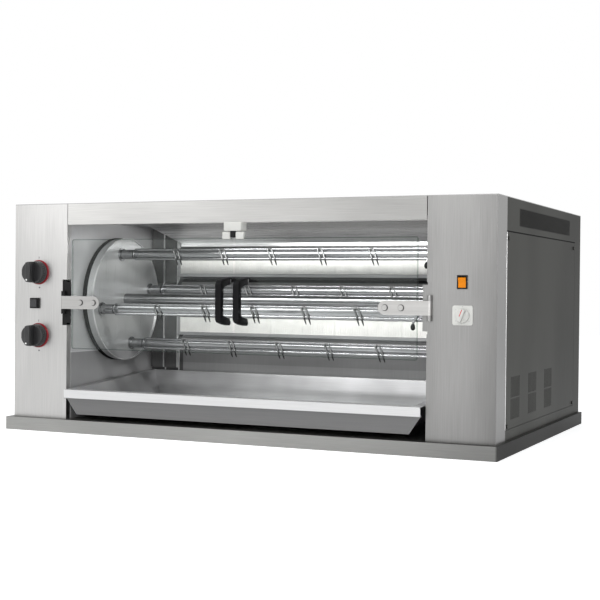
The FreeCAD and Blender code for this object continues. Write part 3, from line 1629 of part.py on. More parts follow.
def make_tray():
    slope = "tray_end_slope"
    back = "(tray_back - tray_rim_back)"
    outer = taper(
        "tray_outer",
        "tray_floor_half",
        "tray_mouth_half",
        (slope, f"{back} - {slope}"),
        ("tray_pan_front", back),
        "0",
        "tray_deep",
    )
    wall = "tray_sheet"
    inner = taper(
        "tray_inner",
        f"tray_floor_half - {wall}",
        f"tray_mouth_half - {wall}",
        (f"{slope} + {wall}", f"{back} - {slope} - {wall}"),
        (f"tray_pan_front + {wall}", f"{back} - {wall}"),
        wall,
        "tray_deep + 0.01",
    )
    top = ("tray_deep - tray_sheet", "tray_deep")
    wide = ("-tray_rim_half", "tray_rim_half")
    rim = block("tray_rim", wide, ("-tray_front_lip", "tray_back"), top)
    lip_low = "tray_deep - tray_lip_tall"
    front = block("tray_lip", wide, ("-tray_front_lip", f"{wall} - tray_front_lip"), (lip_low, "tray_deep"))
    under = block(
        "tray_lip_return",
        wide,
        ("-tray_front_lip", "tray_lip_return - tray_front_lip"),
        (lip_low, f"{lip_low} + {wall}"),
    )
    skirt_back = "tray_lip_return - tray_front_lip"
    profile = [
        ("-tray_skirt_foot", "0"),
        ("tray_skirt_foot", "0"),
        ("tray_skirt_top", f"{lip_low} + {wall}"),
        ("-tray_skirt_top", f"{lip_low} + {wall}"),
    ]
    skirt = extrusion("tray_skirt", "XZ", profile, f"{skirt_back} - {wall}", skirt_back)
    solid = cut("drip_tray", fuse("tray_solid", [outer, rim, front, under, skirt]), [inner])
    tray_place(solid, "0", "0", "0")
    piece(solid, "drip_tray")


# Cable gland and casing screws
def make_gland():
    centre = ("gland_x", "gland_height")
    inside = f"{BACK} - panel"
    parts = [
        rod("gland_barrel", "Y", centre, "gland_radius", f"{inside} - gland_length", f"{BACK} + gland_collar"),
        rod("gland_collar", "Y", centre, "gland_flange", BACK, f"{BACK} + gland_collar"),
        rod("gland_nut", "Y", centre, "gland_flange", f"{inside} - gland_nut", inside),
    ]
    bore = rod("gland_bore", "Y", centre, "gland_bore", f"{inside} - gland_length - overshoot", f"{BACK} + gland_collar + overshoot")
    piece(cut("cable_gland", fuse("gland_solid", parts), [bore]), "cable_gland")


def make_screws():
    back, side = screw_places()
    screws = []
    for number, centre in enumerate(back):
        head = rod(f"back_screw_{number}_head", "Y", centre, "screw_head", BACK, f"{BACK} + screw_head_tall")
        shank = rod(f"back_screw_{number}_shank", "Y", centre, "screw_radius", f"{BACK} - screw_shank", BACK)
        screws.append(fuse(f"back_screw_{number}", [head, shank]))
    for number, centre in enumerate(side):
        head = rod(f"side_screw_{number}_head", "X", centre, "screw_head", SIDE, f"{SIDE} + screw_head_tall")
        shank = rod(f"side_screw_{number}_shank", "X", centre, "screw_radius", f"{SIDE} - screw_shank", SIDE)
        screws.append(fuse(f"side_screw_{number}", [head, shank]))
    piece(group("casing_screws", screws), "casing_screws")


make_plinth()
column(-1)
column(1)
make_fascia()
make_top_cover()
make_back_panel()
make_left_side()
make_right_side()
inner_wall(-1)
inner_wall(1)
make_chamber_back()
make_hood()
burner("upper")
burner("lower")
make_rotor()
make_bearings()
for spit_number in range(4):
    planet_socket(spit_number)
    spit(spit_number)
make_gearmotor()
make_gas_fittings()
make_knobs()
make_igniter()
make_rocker()
make_dial()
for door_side in (-1, 1):
    hinge_bracket(door_side)
    hinge_strap(door_side)
    door_glass(door_side)
    door_handle(door_side)
    door_keeper(door_side)
make_catch()
make_tray()
make_gland()
make_screws()
doc.recompute()

# Every object must have computed, and every sub-part must hold a sound shape
for item in doc.Objects:
    if "Invalid" in item.State or "Error" in item.State:
        raise RuntimeError(f"{item.Name} did not compute: {item.State}")
for item in PIECES:
    if item.Shape.isNull() or not item.Shape.isValid() or not item.Shape.Solids:
        raise RuntimeError(f"{item.Label} has no sound shape")
os.makedirs("parts", exist_ok=True)
for item in PIECES:
    item.Shape.exportStep(os.path.join("parts", item.Label + ".step"))
    box = item.Shape.BoundBox
    print(
        f"{item.Label}: {len(item.Shape.Solids)} solids, {item.Shape.Volume / 1000:.1f} cm3, "
        f"x {box.XMin:.1f} {box.XMax:.1f}, y {box.YMin:.1f} {box.YMax:.1f}, z {box.ZMin:.1f} {box.ZMax:.1f}"
    )
print(len(PIECES), "sub-parts")
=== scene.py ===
# %% [markdown]
# # A countertop rotisserie, dressed for a photograph
# The shape of the machine comes from CAD: sheet steel casing, doors, drum, spits, burners and tray.
# Blender adds what CAD leaves plain, which is the finish of each sheet, the moulded handles and knobs,
# the bent prongs of the spits, the ribs of the ceramic and the light of a small studio.

import math

import bmesh
import bpy
from mathutils import Matrix, Vector


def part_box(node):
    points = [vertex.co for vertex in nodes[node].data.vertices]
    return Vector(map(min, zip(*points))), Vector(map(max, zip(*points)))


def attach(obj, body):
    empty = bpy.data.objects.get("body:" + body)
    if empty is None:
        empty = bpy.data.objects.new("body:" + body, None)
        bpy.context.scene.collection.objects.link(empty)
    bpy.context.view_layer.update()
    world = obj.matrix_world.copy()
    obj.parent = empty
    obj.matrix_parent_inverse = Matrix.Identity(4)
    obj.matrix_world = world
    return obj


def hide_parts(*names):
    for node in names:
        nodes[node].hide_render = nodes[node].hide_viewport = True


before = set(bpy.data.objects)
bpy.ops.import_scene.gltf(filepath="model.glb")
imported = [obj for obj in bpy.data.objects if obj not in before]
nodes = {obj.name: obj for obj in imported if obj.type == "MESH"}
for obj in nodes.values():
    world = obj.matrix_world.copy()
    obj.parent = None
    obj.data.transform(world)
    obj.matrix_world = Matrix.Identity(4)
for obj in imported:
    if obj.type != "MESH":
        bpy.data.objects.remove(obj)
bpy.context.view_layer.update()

# %% [markdown]
# ## Camera
# The photograph looks at the machine from its right, almost level, through a medium long lens. The
# lens and place were worked out from straight edges of the casing, so the camera is set by numbers
# and not by eye. Its three directions are written into its matrix.

# %% Camera at the photograph's angle
LENS_MM, SENSOR_MM = 74.59, 36
CAMERA_PLACE = Vector((1.3436, -2.9958, 0.3642))
YAW, PITCH, ROLL = math.radians(24.44), math.radians(-0.547), math.radians(0.55)

level_ahead = Vector((-math.sin(YAW), math.cos(YAW), 0))
level_right = Vector((math.cos(YAW), math.sin(YAW), 0))
forward = level_ahead * math.cos(PITCH) + Vector((0, 0, math.sin(PITCH)))
level_up = level_right.cross(forward)
right = level_right * math.cos(ROLL) + level_up * math.sin(ROLL)
up = level_up * math.cos(ROLL) - level_right * math.sin(ROLL)
camera = bpy.data.objects.new("photo_camera", bpy.data.cameras.new("photo_camera"))
camera.data.lens = LENS_MM
camera.data.sensor_width = SENSOR_MM
directions = Matrix((right, up, -forward)).transposed().to_4x4()
camera.matrix_world = Matrix.Translation(CAMERA_PLACE) @ directions
bpy.context.scene.collection.objects.link(camera)
bpy.context.scene.camera = camera
bpy.context.scene.view_settings.view_transform = "Standard"
print("camera looks along", [round(c, 3) for c in forward])

# %% [markdown]
# ## Small helpers for finishes
# A finish is a tree of nodes that ends in one shader. Written out node by node, such a tree is long
# and hard to read. Short helpers take up what repeats: one starts a finish, one adds a node and fills
# or links its inputs, and the rest give noise, ramps and mixes, which are the words of every finish.

# %% Helpers that make a finish
def start_finish(name):
    """A new material, its tree and its shader."""
    material = bpy.data.materials.new(name)
    material.use_nodes = True
    return material, material.node_tree, material.node_tree.nodes["Principled BSDF"]


def add(tree, kind, inputs=None, **settings):
    """Adds a node. An input is given a number, or the output of another node to link."""
    made = tree.nodes.new(kind)
    for key, value in settings.items():
        setattr(made, key, value)
    for key, value in (inputs or {}).items():
        if isinstance(value, bpy.types.NodeSocket):
            tree.links.new(value, made.inputs[key])
        else:
            made.inputs[key].default_value = value
    return made


def sums(tree, operation, first, second):
    """One sum of two numbers or outputs."""
    return add(tree, "ShaderNodeMath", {0: first, 1: second}, operation=operation).outputs[0]


def object_place(tree):
    """The place of a point on the object, in metres from the machine's origin."""
    return add(tree, "ShaderNodeTexCoord").outputs["Object"]


def grain_noise(tree, scale, detail=4, roughness=0.6):
    """Noise stretched along the direction in which its scale is small."""
    stretched = add(tree, "ShaderNodeMapping", {"Vector": object_place(tree), "Scale": scale})
    inputs = {"Vector": stretched.outputs[0], "Scale": 1.0, "Detail": detail, "Roughness": roughness}
    return add(tree, "ShaderNodeTexNoise", inputs).outputs["Fac"]


# %% Helpers for ramps, mixes and relief
def grey_or_color(color):
    """One number is a grey, three are a colour."""
    return (color, color, color, 1) if isinstance(color, (int, float)) else (*color, 1)


def steps(tree, value, stops, smooth=True):
    """A colour ramp over 0 to 1 with grey or coloured stops."""
    ramp = add(tree, "ShaderNodeValToRGB", {"Fac": value})
    band = ramp.color_ramp
    band.interpolation = "EASE" if smooth else "LINEAR"
    while len(band.elements) < len(stops):
        band.elements.new(0.5)
    for element, (place, color) in zip(band.elements, stops):
        element.position = place
        element.color = grey_or_color(color)
    return ramp.outputs["Color"]


def along(tree, axis, low, high):
    """0 at the low and 1 at the high end of one axis, in metres."""
    parts = add(tree, "ShaderNodeSeparateXYZ", {"Vector": object_place(tree)})
    inputs = {"Value": parts.outputs[axis], "From Min": low, "From Max": high}
    return add(tree, "ShaderNodeMapRange", inputs).outputs["Result"]


MIX_SHARE, MIX_FIRST, MIX_SECOND, MIX_RESULT = 0, 6, 7, 2  # sockets of a Mix node for colours


def tinted(tree, first, second, blend="MULTIPLY", share=1.0):
    """Two colours or outputs mixed or multiplied."""
    first, second = (value if isinstance(value, bpy.types.NodeSocket) else grey_or_color(value)
                     for value in (first, second))
    inputs = {MIX_SHARE: share, MIX_FIRST: first, MIX_SECOND: second}
    return add(tree, "ShaderNodeMix", inputs, data_type="RGBA", blend_type=blend).outputs[MIX_RESULT]


def relief(tree, shader, height, strength, distance=0.0003):
    """Bump from a height, as deep as distance in metres."""
    bump = add(tree, "ShaderNodeBump", {"Height": height, "Strength": strength, "Distance": distance})
    tree.links.new(bump.outputs[0], shader.inputs["Normal"])


print("finish helpers ready")

# %% [markdown]
# ## Brushed stainless steel
# Catering steel is ground in one direction. The scratches are too fine to see one by one, but they
# blur reflections and leave light and dark hairs along the grain. Noise stretched along the grain
# gives the hairs, and broad soft noise gives the clouds that a sheet shows where it isn't quite flat.
# A ramp along the sheet is painted light and shade: the slow change of tone that a room leaves on it.

# %% Brushed steel
HAIR, LONG = 900, 9  # scale of the hairs across and along the grain
GRAIN = {"X": (LONG, HAIR, HAIR), "Y": (HAIR, LONG, HAIR), "Z": (HAIR, HAIR, LONG)}
CLOUD_ACROSS, CLOUD_ALONG = 3.0, 1.2
ROUGH_SWING = 0.16  # how much the hairs change the roughness
PATCH = [(0.0, 0.0), (0.02, 1.0), (0.98, 1.0), (1.0, 0.0)]  # a patch with soft borders along one axis


def brushed_steel(name, color, grain="X", roughness=0.32, ramps=(), clouds=0.16, hairs=0.10,
                  metallic=1.0, edge=1.0, shaded=None):
    """Ground sheet steel. Each ramp is (axis, low, high, stops). edge tints its glancing reflections,
    and shaded is (limits, tone) for one patch that lies in shade."""
    material, tree, shader = start_finish(name)
    hair = grain_noise(tree, GRAIN[grain])
    cloud_scale = tuple(CLOUD_ACROSS if scale == HAIR else CLOUD_ALONG for scale in GRAIN[grain])
    cloud = grain_noise(tree, cloud_scale, detail=2)
    hair_tone = steps(tree, hair, [(0.3, 1 - hairs), (0.7, 1 + hairs)], smooth=False)
    cloud_tone = steps(tree, cloud, [(0.3, 1 - clouds), (0.7, 1 + clouds / 2)])
    tone = tinted(tree, tinted(tree, color, hair_tone), cloud_tone)
    # each ramp is painted light and shade along the sheet
    for axis, low, high, stops in ramps:
        tone = tinted(tree, tone, steps(tree, along(tree, axis, low, high), stops, smooth=False))
    if shaded:
        limits, shade = shaded
        inside = 1.0
        for axis, low, high in limits:
            window = steps(tree, along(tree, axis, low, high), PATCH, smooth=False)
            inside = sums(tree, "MULTIPLY", window, inside)
        tone = tinted(tree, tone, shade, share=inside)
    tree.links.new(tone, shader.inputs["Base Color"])
    shader.inputs["Metallic"].default_value = metallic
    shader.inputs["Specular Tint"].default_value = (edge, edge, edge, 1)
    rough = sums(tree, "MULTIPLY_ADD", hair, ROUGH_SWING)
    rough.node.inputs[2].default_value = roughness - ROUGH_SWING / 2
    tree.links.new(rough, shader.inputs["Roughness"])
    relief(tree, shader, hair, 0.12)
    return material


print("scale of the hairs:", HAIR, "across the grain and", LONG, "along it")

# %% [markdown]
# ## The steel sheets
# Each sheet of the casing has its own tone in the photograph, because it faces another part of the
# room. A lamp for each would change the others too, so the slow change of tone is painted light and
# shade, a ramp in the sheet's own finish between the places where the sheet starts and ends.

# %% Steel outside
CASING_HALF = 0.64
# painted light and shade: the front is brighter at the left and darker towards the right
front_steel = brushed_steel(
    "front_steel", (0.62, 0.615, 0.60), "X", 0.34,
    ramps=[("X", -CASING_HALF, CASING_HALF, [(0.0, 1.18), (0.2, 1.1), (0.62, 0.78), (1.0, 0.62)])],
)
# painted light and shade: the left column bright, the right one dark, and both brighter towards the top
COLUMN_LIGHT_AND_SHADE = [(0.0, 1.16), (0.13, 1.22), (0.86, 0.52), (0.90, 0.60), (0.94, 0.58), (1.0, 0.38)]
column_steel = brushed_steel(
    "column_steel", (0.60, 0.595, 0.585), "Z", 0.34,
    ramps=[("X", -CASING_HALF, CASING_HALF, COLUMN_LIGHT_AND_SHADE),
           ("Z", 0.05, 0.55, [(0.0, 0.66), (0.5, 0.78), (1.0, 0.98)])],
)
PLINTH_SIDE = 0.639
# painted light and shade along the plinth's front, with painted shade where it turns on to its right side
PLINTH_LIGHT_AND_SHADE = [(0.0, 0.93), (0.5, 1.04), (0.999, 0.52), (0.9996, 0.16)]  # the last two lead on to its right side
plinth_steel = brushed_steel(
    "plinth_steel", (0.325, 0.325, 0.315), "X", 0.36, edge=0.5,
    ramps=[("X", -PLINTH_SIDE, PLINTH_SIDE, PLINTH_LIGHT_AND_SHADE)],
)
LOUVRE_BAND = [("Z", 0.508, 0.550), ("Y", -0.230, 0.296)]  # the louvres lie in shade
# painted shade: the right side's steel has a dark base colour for the dark reflections it shows, darker towards
# the back
shaded_side_steel = brushed_steel(
    "shaded_side_steel", (0.072, 0.073, 0.067), "Z", 0.38, clouds=0.2, edge=0.55,
    ramps=[("Y", -0.41, 0.43, [(0.0, 1.12), (0.5, 1.0), (1.0, 0.75)])], shaded=(LOUVRE_BAND, 0.25),
)
roof_steel = brushed_steel("roof_steel", (0.40, 0.40, 0.395), "X", 0.34, clouds=0.1)
# bright steel for painted highlights: the bead on the drum's rim and the folded edge of the service panel
painted_highlight_steel = brushed_steel("painted_highlight_steel", (0.85, 0.85, 0.85), "Z", 0.4, clouds=0.05)
print("steel outside made")

# %% Steel inside
WALL_FOLD = 0.198  # height of the fold that crosses both inner walls
# painted shade below the fold and a painted highlight in a band just above it
chamber_steel = brushed_steel(
    "chamber_steel", (0.66, 0.66, 0.665), "Z", 0.36, clouds=0.16, hairs=0.04, metallic=0.35,
    ramps=[("Z", WALL_FOLD - 0.05, WALL_FOLD + 0.05, [(0.0, 0.62), (0.49, 0.55), (0.5, 1.25), (0.54, 1.0)])],
)
# painted highlight: the drum's rim is painted brighter than its face
RIM_START = -0.4405  # left of it the drum's rim is brighter
drum_steel = brushed_steel(
    "drum_steel", (0.58, 0.58, 0.585), "Z", 0.3, clouds=0.4, hairs=0.05, metallic=0.5,
    ramps=[("X", RIM_START - 0.005, RIM_START + 0.005, [(0.0, 1.25), (0.48, 1.25), (0.52, 1.0)])],
)
bar_steel = brushed_steel("bar_steel", (0.36, 0.36, 0.37), "X", 0.24, clouds=0.45, hairs=0.1)
prong_steel = brushed_steel("prong_steel", (0.15, 0.15, 0.15), "Z", 0.35)
strap_steel = brushed_steel("strap_steel", (0.43, 0.425, 0.415), "X", 0.38, clouds=0.08)
HOOD_LOW, HOOD_HIGH = 0.470, 0.520
# painted light and shade on the hood: a bright lip low down, darker towards the top, and brighter at the left
# over the drum
HOOD_LIGHT_AND_SHADE = [(0.0, 0.85), (0.28, 1.0), (0.34, 0.9), (0.8, 0.8), (0.9, 0.45), (1.0, 0.3)]
hood_steel = brushed_steel(
    "hood_steel", (0.34, 0.34, 0.34), "X", 0.28, clouds=0.2, metallic=0.5,
    ramps=[("Z", HOOD_LOW, HOOD_HIGH, HOOD_LIGHT_AND_SHADE),
           ("X", -0.38, 0.47, [(0.0, 3.4), (0.2, 2.8), (0.42, 1.1), (1.0, 0.9)])],
)
gear_steel = brushed_steel("gear_steel", (0.34, 0.34, 0.35), "Z", 0.42)
print("steel inside made")

# %% [markdown]
# ## The tray in three tones
# The lip of the tray is painted bright as a highlight, the skirt below it is painted dark as shade,
# and its pan is painted a darker grey as shade, with random blotches. The three are one sheet. Cutting
# it up for three finishes would open seams, so depth and height pick the tone instead.

# %% Tray finish
LIP_BACK, LIP_LOW = -0.409, 0.0862
# painted shade on the skirt and a painted highlight on the lip above it
SKIRT_SHADE_TO_LIP_HIGHLIGHT = [(0.4, 0.15), (0.6, 0.60)]


def tray_finish():
    """Steel inside painted a darker grey as shade, with blotches; outside, a lip of painted highlight and a skirt
    of painted shade.
    """
    material, tree, shader = start_finish("tray_sheet")
    hair = grain_noise(tree, GRAIN["X"])
    cloud = grain_noise(tree, (3, 4, 4), detail=3)
    # painted shade: the pan inside is a darker grey than the lip, with random blotches
    shaded_blotchy_pan = tinted(tree, (0.40, 0.40, 0.405), steps(tree, cloud, [(0.3, 0.72), (0.7, 1.2)]))
    outside = steps(tree, along(tree, "Z", LIP_LOW - 0.001, LIP_LOW + 0.001), SKIRT_SHADE_TO_LIP_HIGHLIGHT, smooth=False)
    inside = along(tree, "Y", LIP_BACK - 0.0005, LIP_BACK + 0.0005)
    tone = tinted(tree, outside, shaded_blotchy_pan, "MIX", inside)
    tone = tinted(tree, tone, steps(tree, hair, [(0.3, 0.95), (0.7, 1.05)]))
    tree.links.new(tone, shader.inputs["Base Color"])
    shader.inputs["Metallic"].default_value = 0.6
    shader.inputs["Roughness"].default_value = 0.34
    relief(tree, shader, hair, 0.1)
    return material


tray_steel = tray_finish()
print("tray finish made")

# %% [markdown]
# ## Moulded, fired and cast finishes
# Handles and knobs are moulded: their skin is fine grained and a little glossy. The ceramic of a gas
# burner is matt, cream white and slightly blotched where flames have touched it. Brass is cast and
# turned. One maker covers them all, because they differ in colour, gloss and the size of their grain.

# %% One maker for moulded, fired, cast and painted parts
PATCH_SCALE = 26
SKIN_SWING = 0.12  # how much the patches change the roughness


def moulded(name, color, roughness, grain=700.0, relief_share=0.15, mottle=0.06, metallic=0.0,
            gloss=0.5):
    """A body colour with fine skin grain and faint mottling."""
    material, tree, shader = start_finish(name)
    skin = grain_noise(tree, (grain, grain, grain), detail=3)
    patches = grain_noise(tree, (PATCH_SCALE, PATCH_SCALE, PATCH_SCALE), detail=2)
    tone = steps(tree, patches, [(0.3, 1 - mottle), (0.7, 1 + mottle)])
    tree.links.new(tinted(tree, color, tone), shader.inputs["Base Color"])
    rough = sums(tree, "MULTIPLY_ADD", patches, SKIN_SWING)
    rough.node.inputs[2].default_value = roughness - SKIN_SWING / 2
    tree.links.new(rough, shader.inputs["Roughness"])
    shader.inputs["Metallic"].default_value = metallic
    shader.inputs["Specular IOR Level"].default_value = gloss
    relief(tree, shader, skin, relief_share, 0.0002)
    return material


print("scale of the patches:", PATCH_SCALE)

# %% Plastics, ceramic, brass and paint
handle_black = moulded("handle_black", (0.004, 0.004, 0.0045), 0.5, gloss=0.10)
knob_black = moulded("knob_black", (0.020, 0.020, 0.021), 0.38, gloss=0.45)
button_black = moulded("button_black", (0.040, 0.040, 0.042), 0.45, gloss=0.35)
matt_black = moulded("matt_black", (0.007, 0.007, 0.007), 0.62, gloss=0.2)
shade_black = moulded("shade_black", (0.012, 0.012, 0.012), 0.8, gloss=0.05)
bezel_red = moulded("bezel_red", (0.22, 0.006, 0.012), 0.4, gloss=0.3)
rocker_orange = moulded("rocker_orange", (0.72, 0.215, 0.001), 0.4, grain=240, gloss=0.2)
switch_white = moulded("switch_white", (0.62, 0.62, 0.59), 0.42, mottle=0.03, gloss=0.35)
pointer_red = moulded("pointer_red", (0.62, 0.02, 0.03), 0.5, gloss=0.2)
dot_white = moulded("dot_white", (0.82, 0.82, 0.80), 0.4)
print_grey = moulded("print_grey", (0.10, 0.10, 0.11), 0.6)
fired_ceramic = moulded("fired_ceramic", (0.88, 0.87, 0.84), 0.85, grain=1400, relief_share=0.3, mottle=0.05)
cast_brass = moulded("cast_brass", (0.72, 0.48, 0.17), 0.34, metallic=1.0, mottle=0.12)
motor_grey = moulded("motor_grey", (0.11, 0.12, 0.13), 0.5, grain=300, mottle=0.12)
print("moulded and cast finishes made")

# %% [markdown]
# ## Door glass
# Toughened glass 5 mm thick: clear, with a faint green tint and a greyer rim along its edges.
# Blender's glass shader bends light twice in such a pane and keeps much of it out of the chamber. So
# the pane is see-through with a thin gloss instead, which shows the chamber as straight as in the
# photograph, lets the lamps in and keeps noise low.

# %% Glass
PANE_GLOSS = 0.018
PANE_TONES = [(0.3, (0.945, 0.957, 0.95)), (0.7, (0.97, 0.977, 0.973))]
RIM_WIDE, RIM_TONE = 0.003, (0.74, 0.77, 0.755)
RIM_TONES = [(0.0, 1.0), (0.3, RIM_TONE), (0.7, RIM_TONE), (1.0, 1.0)]


def door_glass_finish():
    """See-through, with a toned rim along the edges of both panes, and a gloss that casts no shade."""
    material, tree, shader = start_finish("toughened_glass")
    smear = grain_noise(tree, (3, 3, 9), detail=2)
    tone = steps(tree, smear, PANE_TONES)
    low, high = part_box("left_door_glass")
    for axis, edge in (("X", 0.0), ("X", low.x), ("X", -low.x), ("Z", low.z), ("Z", high.z)):
        across = along(tree, axis, edge - RIM_WIDE, edge + RIM_WIDE)
        tone = tinted(tree, tone, steps(tree, across, RIM_TONES, smooth=False))
    clear = add(tree, "ShaderNodeBsdfTransparent", {"Color": tone})
    gloss = add(tree, "ShaderNodeBsdfGlossy", {"Color": (0.9, 0.95, 0.93, 1), "Roughness": 0.02})
    rays = add(tree, "ShaderNodeLightPath")
    passing = sums(tree, "MAXIMUM", rays.outputs["Is Shadow Ray"], rays.outputs["Is Diffuse Ray"])
    share = sums(tree, "MULTIPLY", PANE_GLOSS, sums(tree, "SUBTRACT", 1.0, passing))
    mix = add(tree, "ShaderNodeMixShader", {0: share, 1: clear.outputs[0], 2: gloss.outputs[0]})
    tree.links.new(mix.outputs[0], tree.nodes["Material Output"].inputs["Surface"])
    tree.nodes.remove(shader)
    return material


clear_glass = door_glass_finish()
print("glass made, gloss", PANE_GLOSS)

# %% [markdown]
# ## The wall behind the spits
# The back wall is one folded sheet in CAD, but its parts look different, and the bands are painted
# light and shade. The two tall shields at the left are painted dark as shade with bright edges as
# painted highlights, the panel below the burners is painted dark as shade, a dark line paints the
# shadow under the hood's lip and the ledges are grey. Cut into pieces, the sheet would need a seam at
# each change. Bands along X and Z pick the tone instead.

# %% Back wall finish
def bands(tree, axis, edges, tone_below):
    """Sharp bands of tone along an axis: each edge is (place, tone above it)."""
    margin, blur = 0.01, 0.001
    low, high = edges[0][0] - margin, edges[-1][0] + margin
    stops, tone = [(0.0, tone_below)], tone_below
    for place, above in edges:
        share = (place - low) / (high - low)
        stops += [(share - blur, tone), (share + blur, above)]
        tone = above
    return steps(tree, along(tree, axis, low, high), stops, smooth=False)


SHIELD_END, SHIELD_BORDER = -0.3725, 0.001
SHIELD_BELOW, WALL_BELOW = 0.095, 0.30
# painted light and shade: dark bands are painted shade, a dark band paints the shadow under the hood's lip,
# bright ones are painted highlights on folded edges
SHIELD_LIGHT_AND_SHADE = [(-0.430, 0.75), (-0.426, 0.085), (-0.387, 0.75), (-0.3835, 0.075), (SHIELD_END, 0.06)]
WALL_LIGHT_AND_SHADE = [(0.157, 0.24), (0.217, 0.62), (0.223, 0.14), (0.228, 0.55), (0.234, 0.20), (0.241, 0.42),
              (0.365, 0.26), (0.378, 0.02), (0.393, 0.50), (0.401, 0.40), (0.4665, 0.06), (0.480, 0.2)]


def back_wall_finish():
    """The shields' bands left of their end, the wall's bands right of it."""
    material, tree, shader = start_finish("back_wall_steel")
    hair = grain_noise(tree, GRAIN["Z"])
    cloud = grain_noise(tree, (2, 2, 6), detail=2)
    shields = bands(tree, "X", SHIELD_LIGHT_AND_SHADE, SHIELD_BELOW)
    wall = bands(tree, "Z", WALL_LIGHT_AND_SHADE, WALL_BELOW)
    tone = tinted(tree, shields, wall, "MIX", along(tree, "X", SHIELD_END, SHIELD_END + SHIELD_BORDER))
    tone = tinted(tree, tone, steps(tree, cloud, [(0.3, 0.8), (0.7, 1.15)]))
    tone = tinted(tree, tone, steps(tree, hair, [(0.3, 0.95), (0.7, 1.05)]))
    tree.links.new(tone, shader.inputs["Base Color"])
    shader.inputs["Metallic"].default_value = 0.35
    shader.inputs["Roughness"].default_value = 0.36
    relief(tree, shader, hair, 0.1)
    return material


back_wall = back_wall_finish()
print("back wall made,", len(SHIELD_LIGHT_AND_SHADE) + len(WALL_LIGHT_AND_SHADE), "bands")

# %% [markdown]
# ## Finishes on the CAD pieces
# Each CAD node whose shape is right keeps its mesh and only gets a finish. The finish could be set
# piece by piece, but a table reads like a parts list: a finish and the pieces that have it. A node
# that a finer piece stands for later has one too.

# %% Give every CAD node its finish
FINISHES = {
    front_steel: ["fascia"],
    column_steel: ["left_column", "right_column", "right_hinge_bracket"],
    plinth_steel: ["base_plinth", "base_pan"],
    shaded_side_steel: ["right_side_frame", "right_service_panel", "casing_screws"],
    roof_steel: ["top_cover", "left_side_panel", "back_panel"],
    chamber_steel: ["left_inner_wall", "right_inner_wall"],
    hood_steel: ["upper_hood"],
    back_wall: ["chamber_back"],
    drum_steel: ["drum_carrier"],
    bar_steel: ["central_tube", "right_wheel", "spit_1", "spit_2", "spit_3", "spit_4",
                "planet_socket_1", "planet_socket_2", "planet_socket_3", "planet_socket_4"],
    strap_steel: ["left_hinge_strap", "right_hinge_strap"],
    tray_steel: ["drip_tray", "upper_burner", "lower_burner"],
    gear_steel: ["drive_gear", "sun_gear", "motor_pinion", "shaft_bearings"],
    clear_glass: ["left_door_glass", "right_door_glass"],
    handle_black: ["left_door_handle", "right_door_handle"],
    knob_black: ["upper_knob", "lower_knob"],
    button_black: ["igniter_button"],
    matt_black: ["igniter_housing", "rocker_frame", "cable_gland", "left_hinge_bracket"],
    bezel_red: ["knob_bezels"],
    rocker_orange: ["rocker_switch"],
    switch_white: ["switch_plate", "switch_knob", "left_door_keeper", "right_door_keeper", "door_catch"],
    fired_ceramic: ["upper_ceramic_tiles", "lower_ceramic_tiles"],
    cast_brass: ["gas_valves", "gas_pipework"],
    motor_grey: ["gearmotor"],
}
for material, names in FINISHES.items():
    for name in names:
        nodes[name].data.materials.clear()
        nodes[name].data.materials.append(material)
bare = sorted(set(nodes) - {name for names in FINISHES.values() for name in names})
print("nodes without a finish:", bare)

# %% [markdown]
# ## Helpers for new pieces
# A new piece is a mesh in place, riding on the body that carries it. Blender's own cylinders and
# cubes would need modifiers to lose their hard edges. These helpers write the mesh itself, from a
# skin over rings, a turned profile, a swept wire or a softened block, and its place is in its points.

# %% One piece from its parts
def piece(name, parts, body, replaces=()):
    """One object from (mesh, material) parts. It rides on a body and may stand for CAD nodes."""
    shell = bmesh.new()
    materials = []
    for mesh, material in parts:
        if material not in materials:
            materials.append(material)
        first = len(shell.faces)
        shell.from_mesh(mesh)
        shell.faces.ensure_lookup_table()
        for face in shell.faces[first:]:
            face.material_index = materials.index(material)
    mesh = bpy.data.meshes.new(name)
    shell.to_mesh(mesh)
    shell.free()
    for material in materials:
        mesh.materials.append(material)
    item = bpy.data.objects.new(name, mesh)
    bpy.context.scene.collection.objects.link(item)
    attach(item, body)
    if replaces:
        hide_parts(*replaces)
    print(name, len(mesh.vertices), "points")
    return item


# %% A closed mesh, and a skin over rings
MERGE = 1e-6


def closed(shell, name, sharp=40):
    """Merges doubles, turns the faces outwards, marks sharp edges and gives the mesh."""
    bmesh.ops.remove_doubles(shell, verts=shell.verts, dist=MERGE)
    bmesh.ops.recalc_face_normals(shell, faces=shell.faces)
    mesh = bpy.data.meshes.new(name)
    shell.to_mesh(mesh)
    shell.free()
    mesh.shade_smooth()
    mesh.set_sharp_from_angle(angle=math.radians(sharp))
    return mesh


def rings_mesh(name, rings, ends=True, sharp=40):
    """Skins closed rings of equal count, with flat ends."""
    shell = bmesh.new()
    rows = [[shell.verts.new(p) for p in ring] for ring in rings]
    count = len(rows[0])
    for near, far in zip(rows, rows[1:]):
        for i in range(count):
            j = (i + 1) % count
            shell.faces.new((near[i], near[j], far[j], far[i]))
    if ends:
        shell.faces.new(rows[0])
        shell.faces.new(rows[-1])
    return closed(shell, name, sharp)


# %% A turned body
TURN_AXES = {"X": (Vector((1, 0, 0)), Vector((0, 1, 0)), Vector((0, 0, 1))),
             "Y": (Vector((0, 1, 0)), Vector((0, 0, 1)), Vector((1, 0, 0))),
             "Z": (Vector((0, 0, 1)), Vector((1, 0, 0)), Vector((0, 1, 0)))}


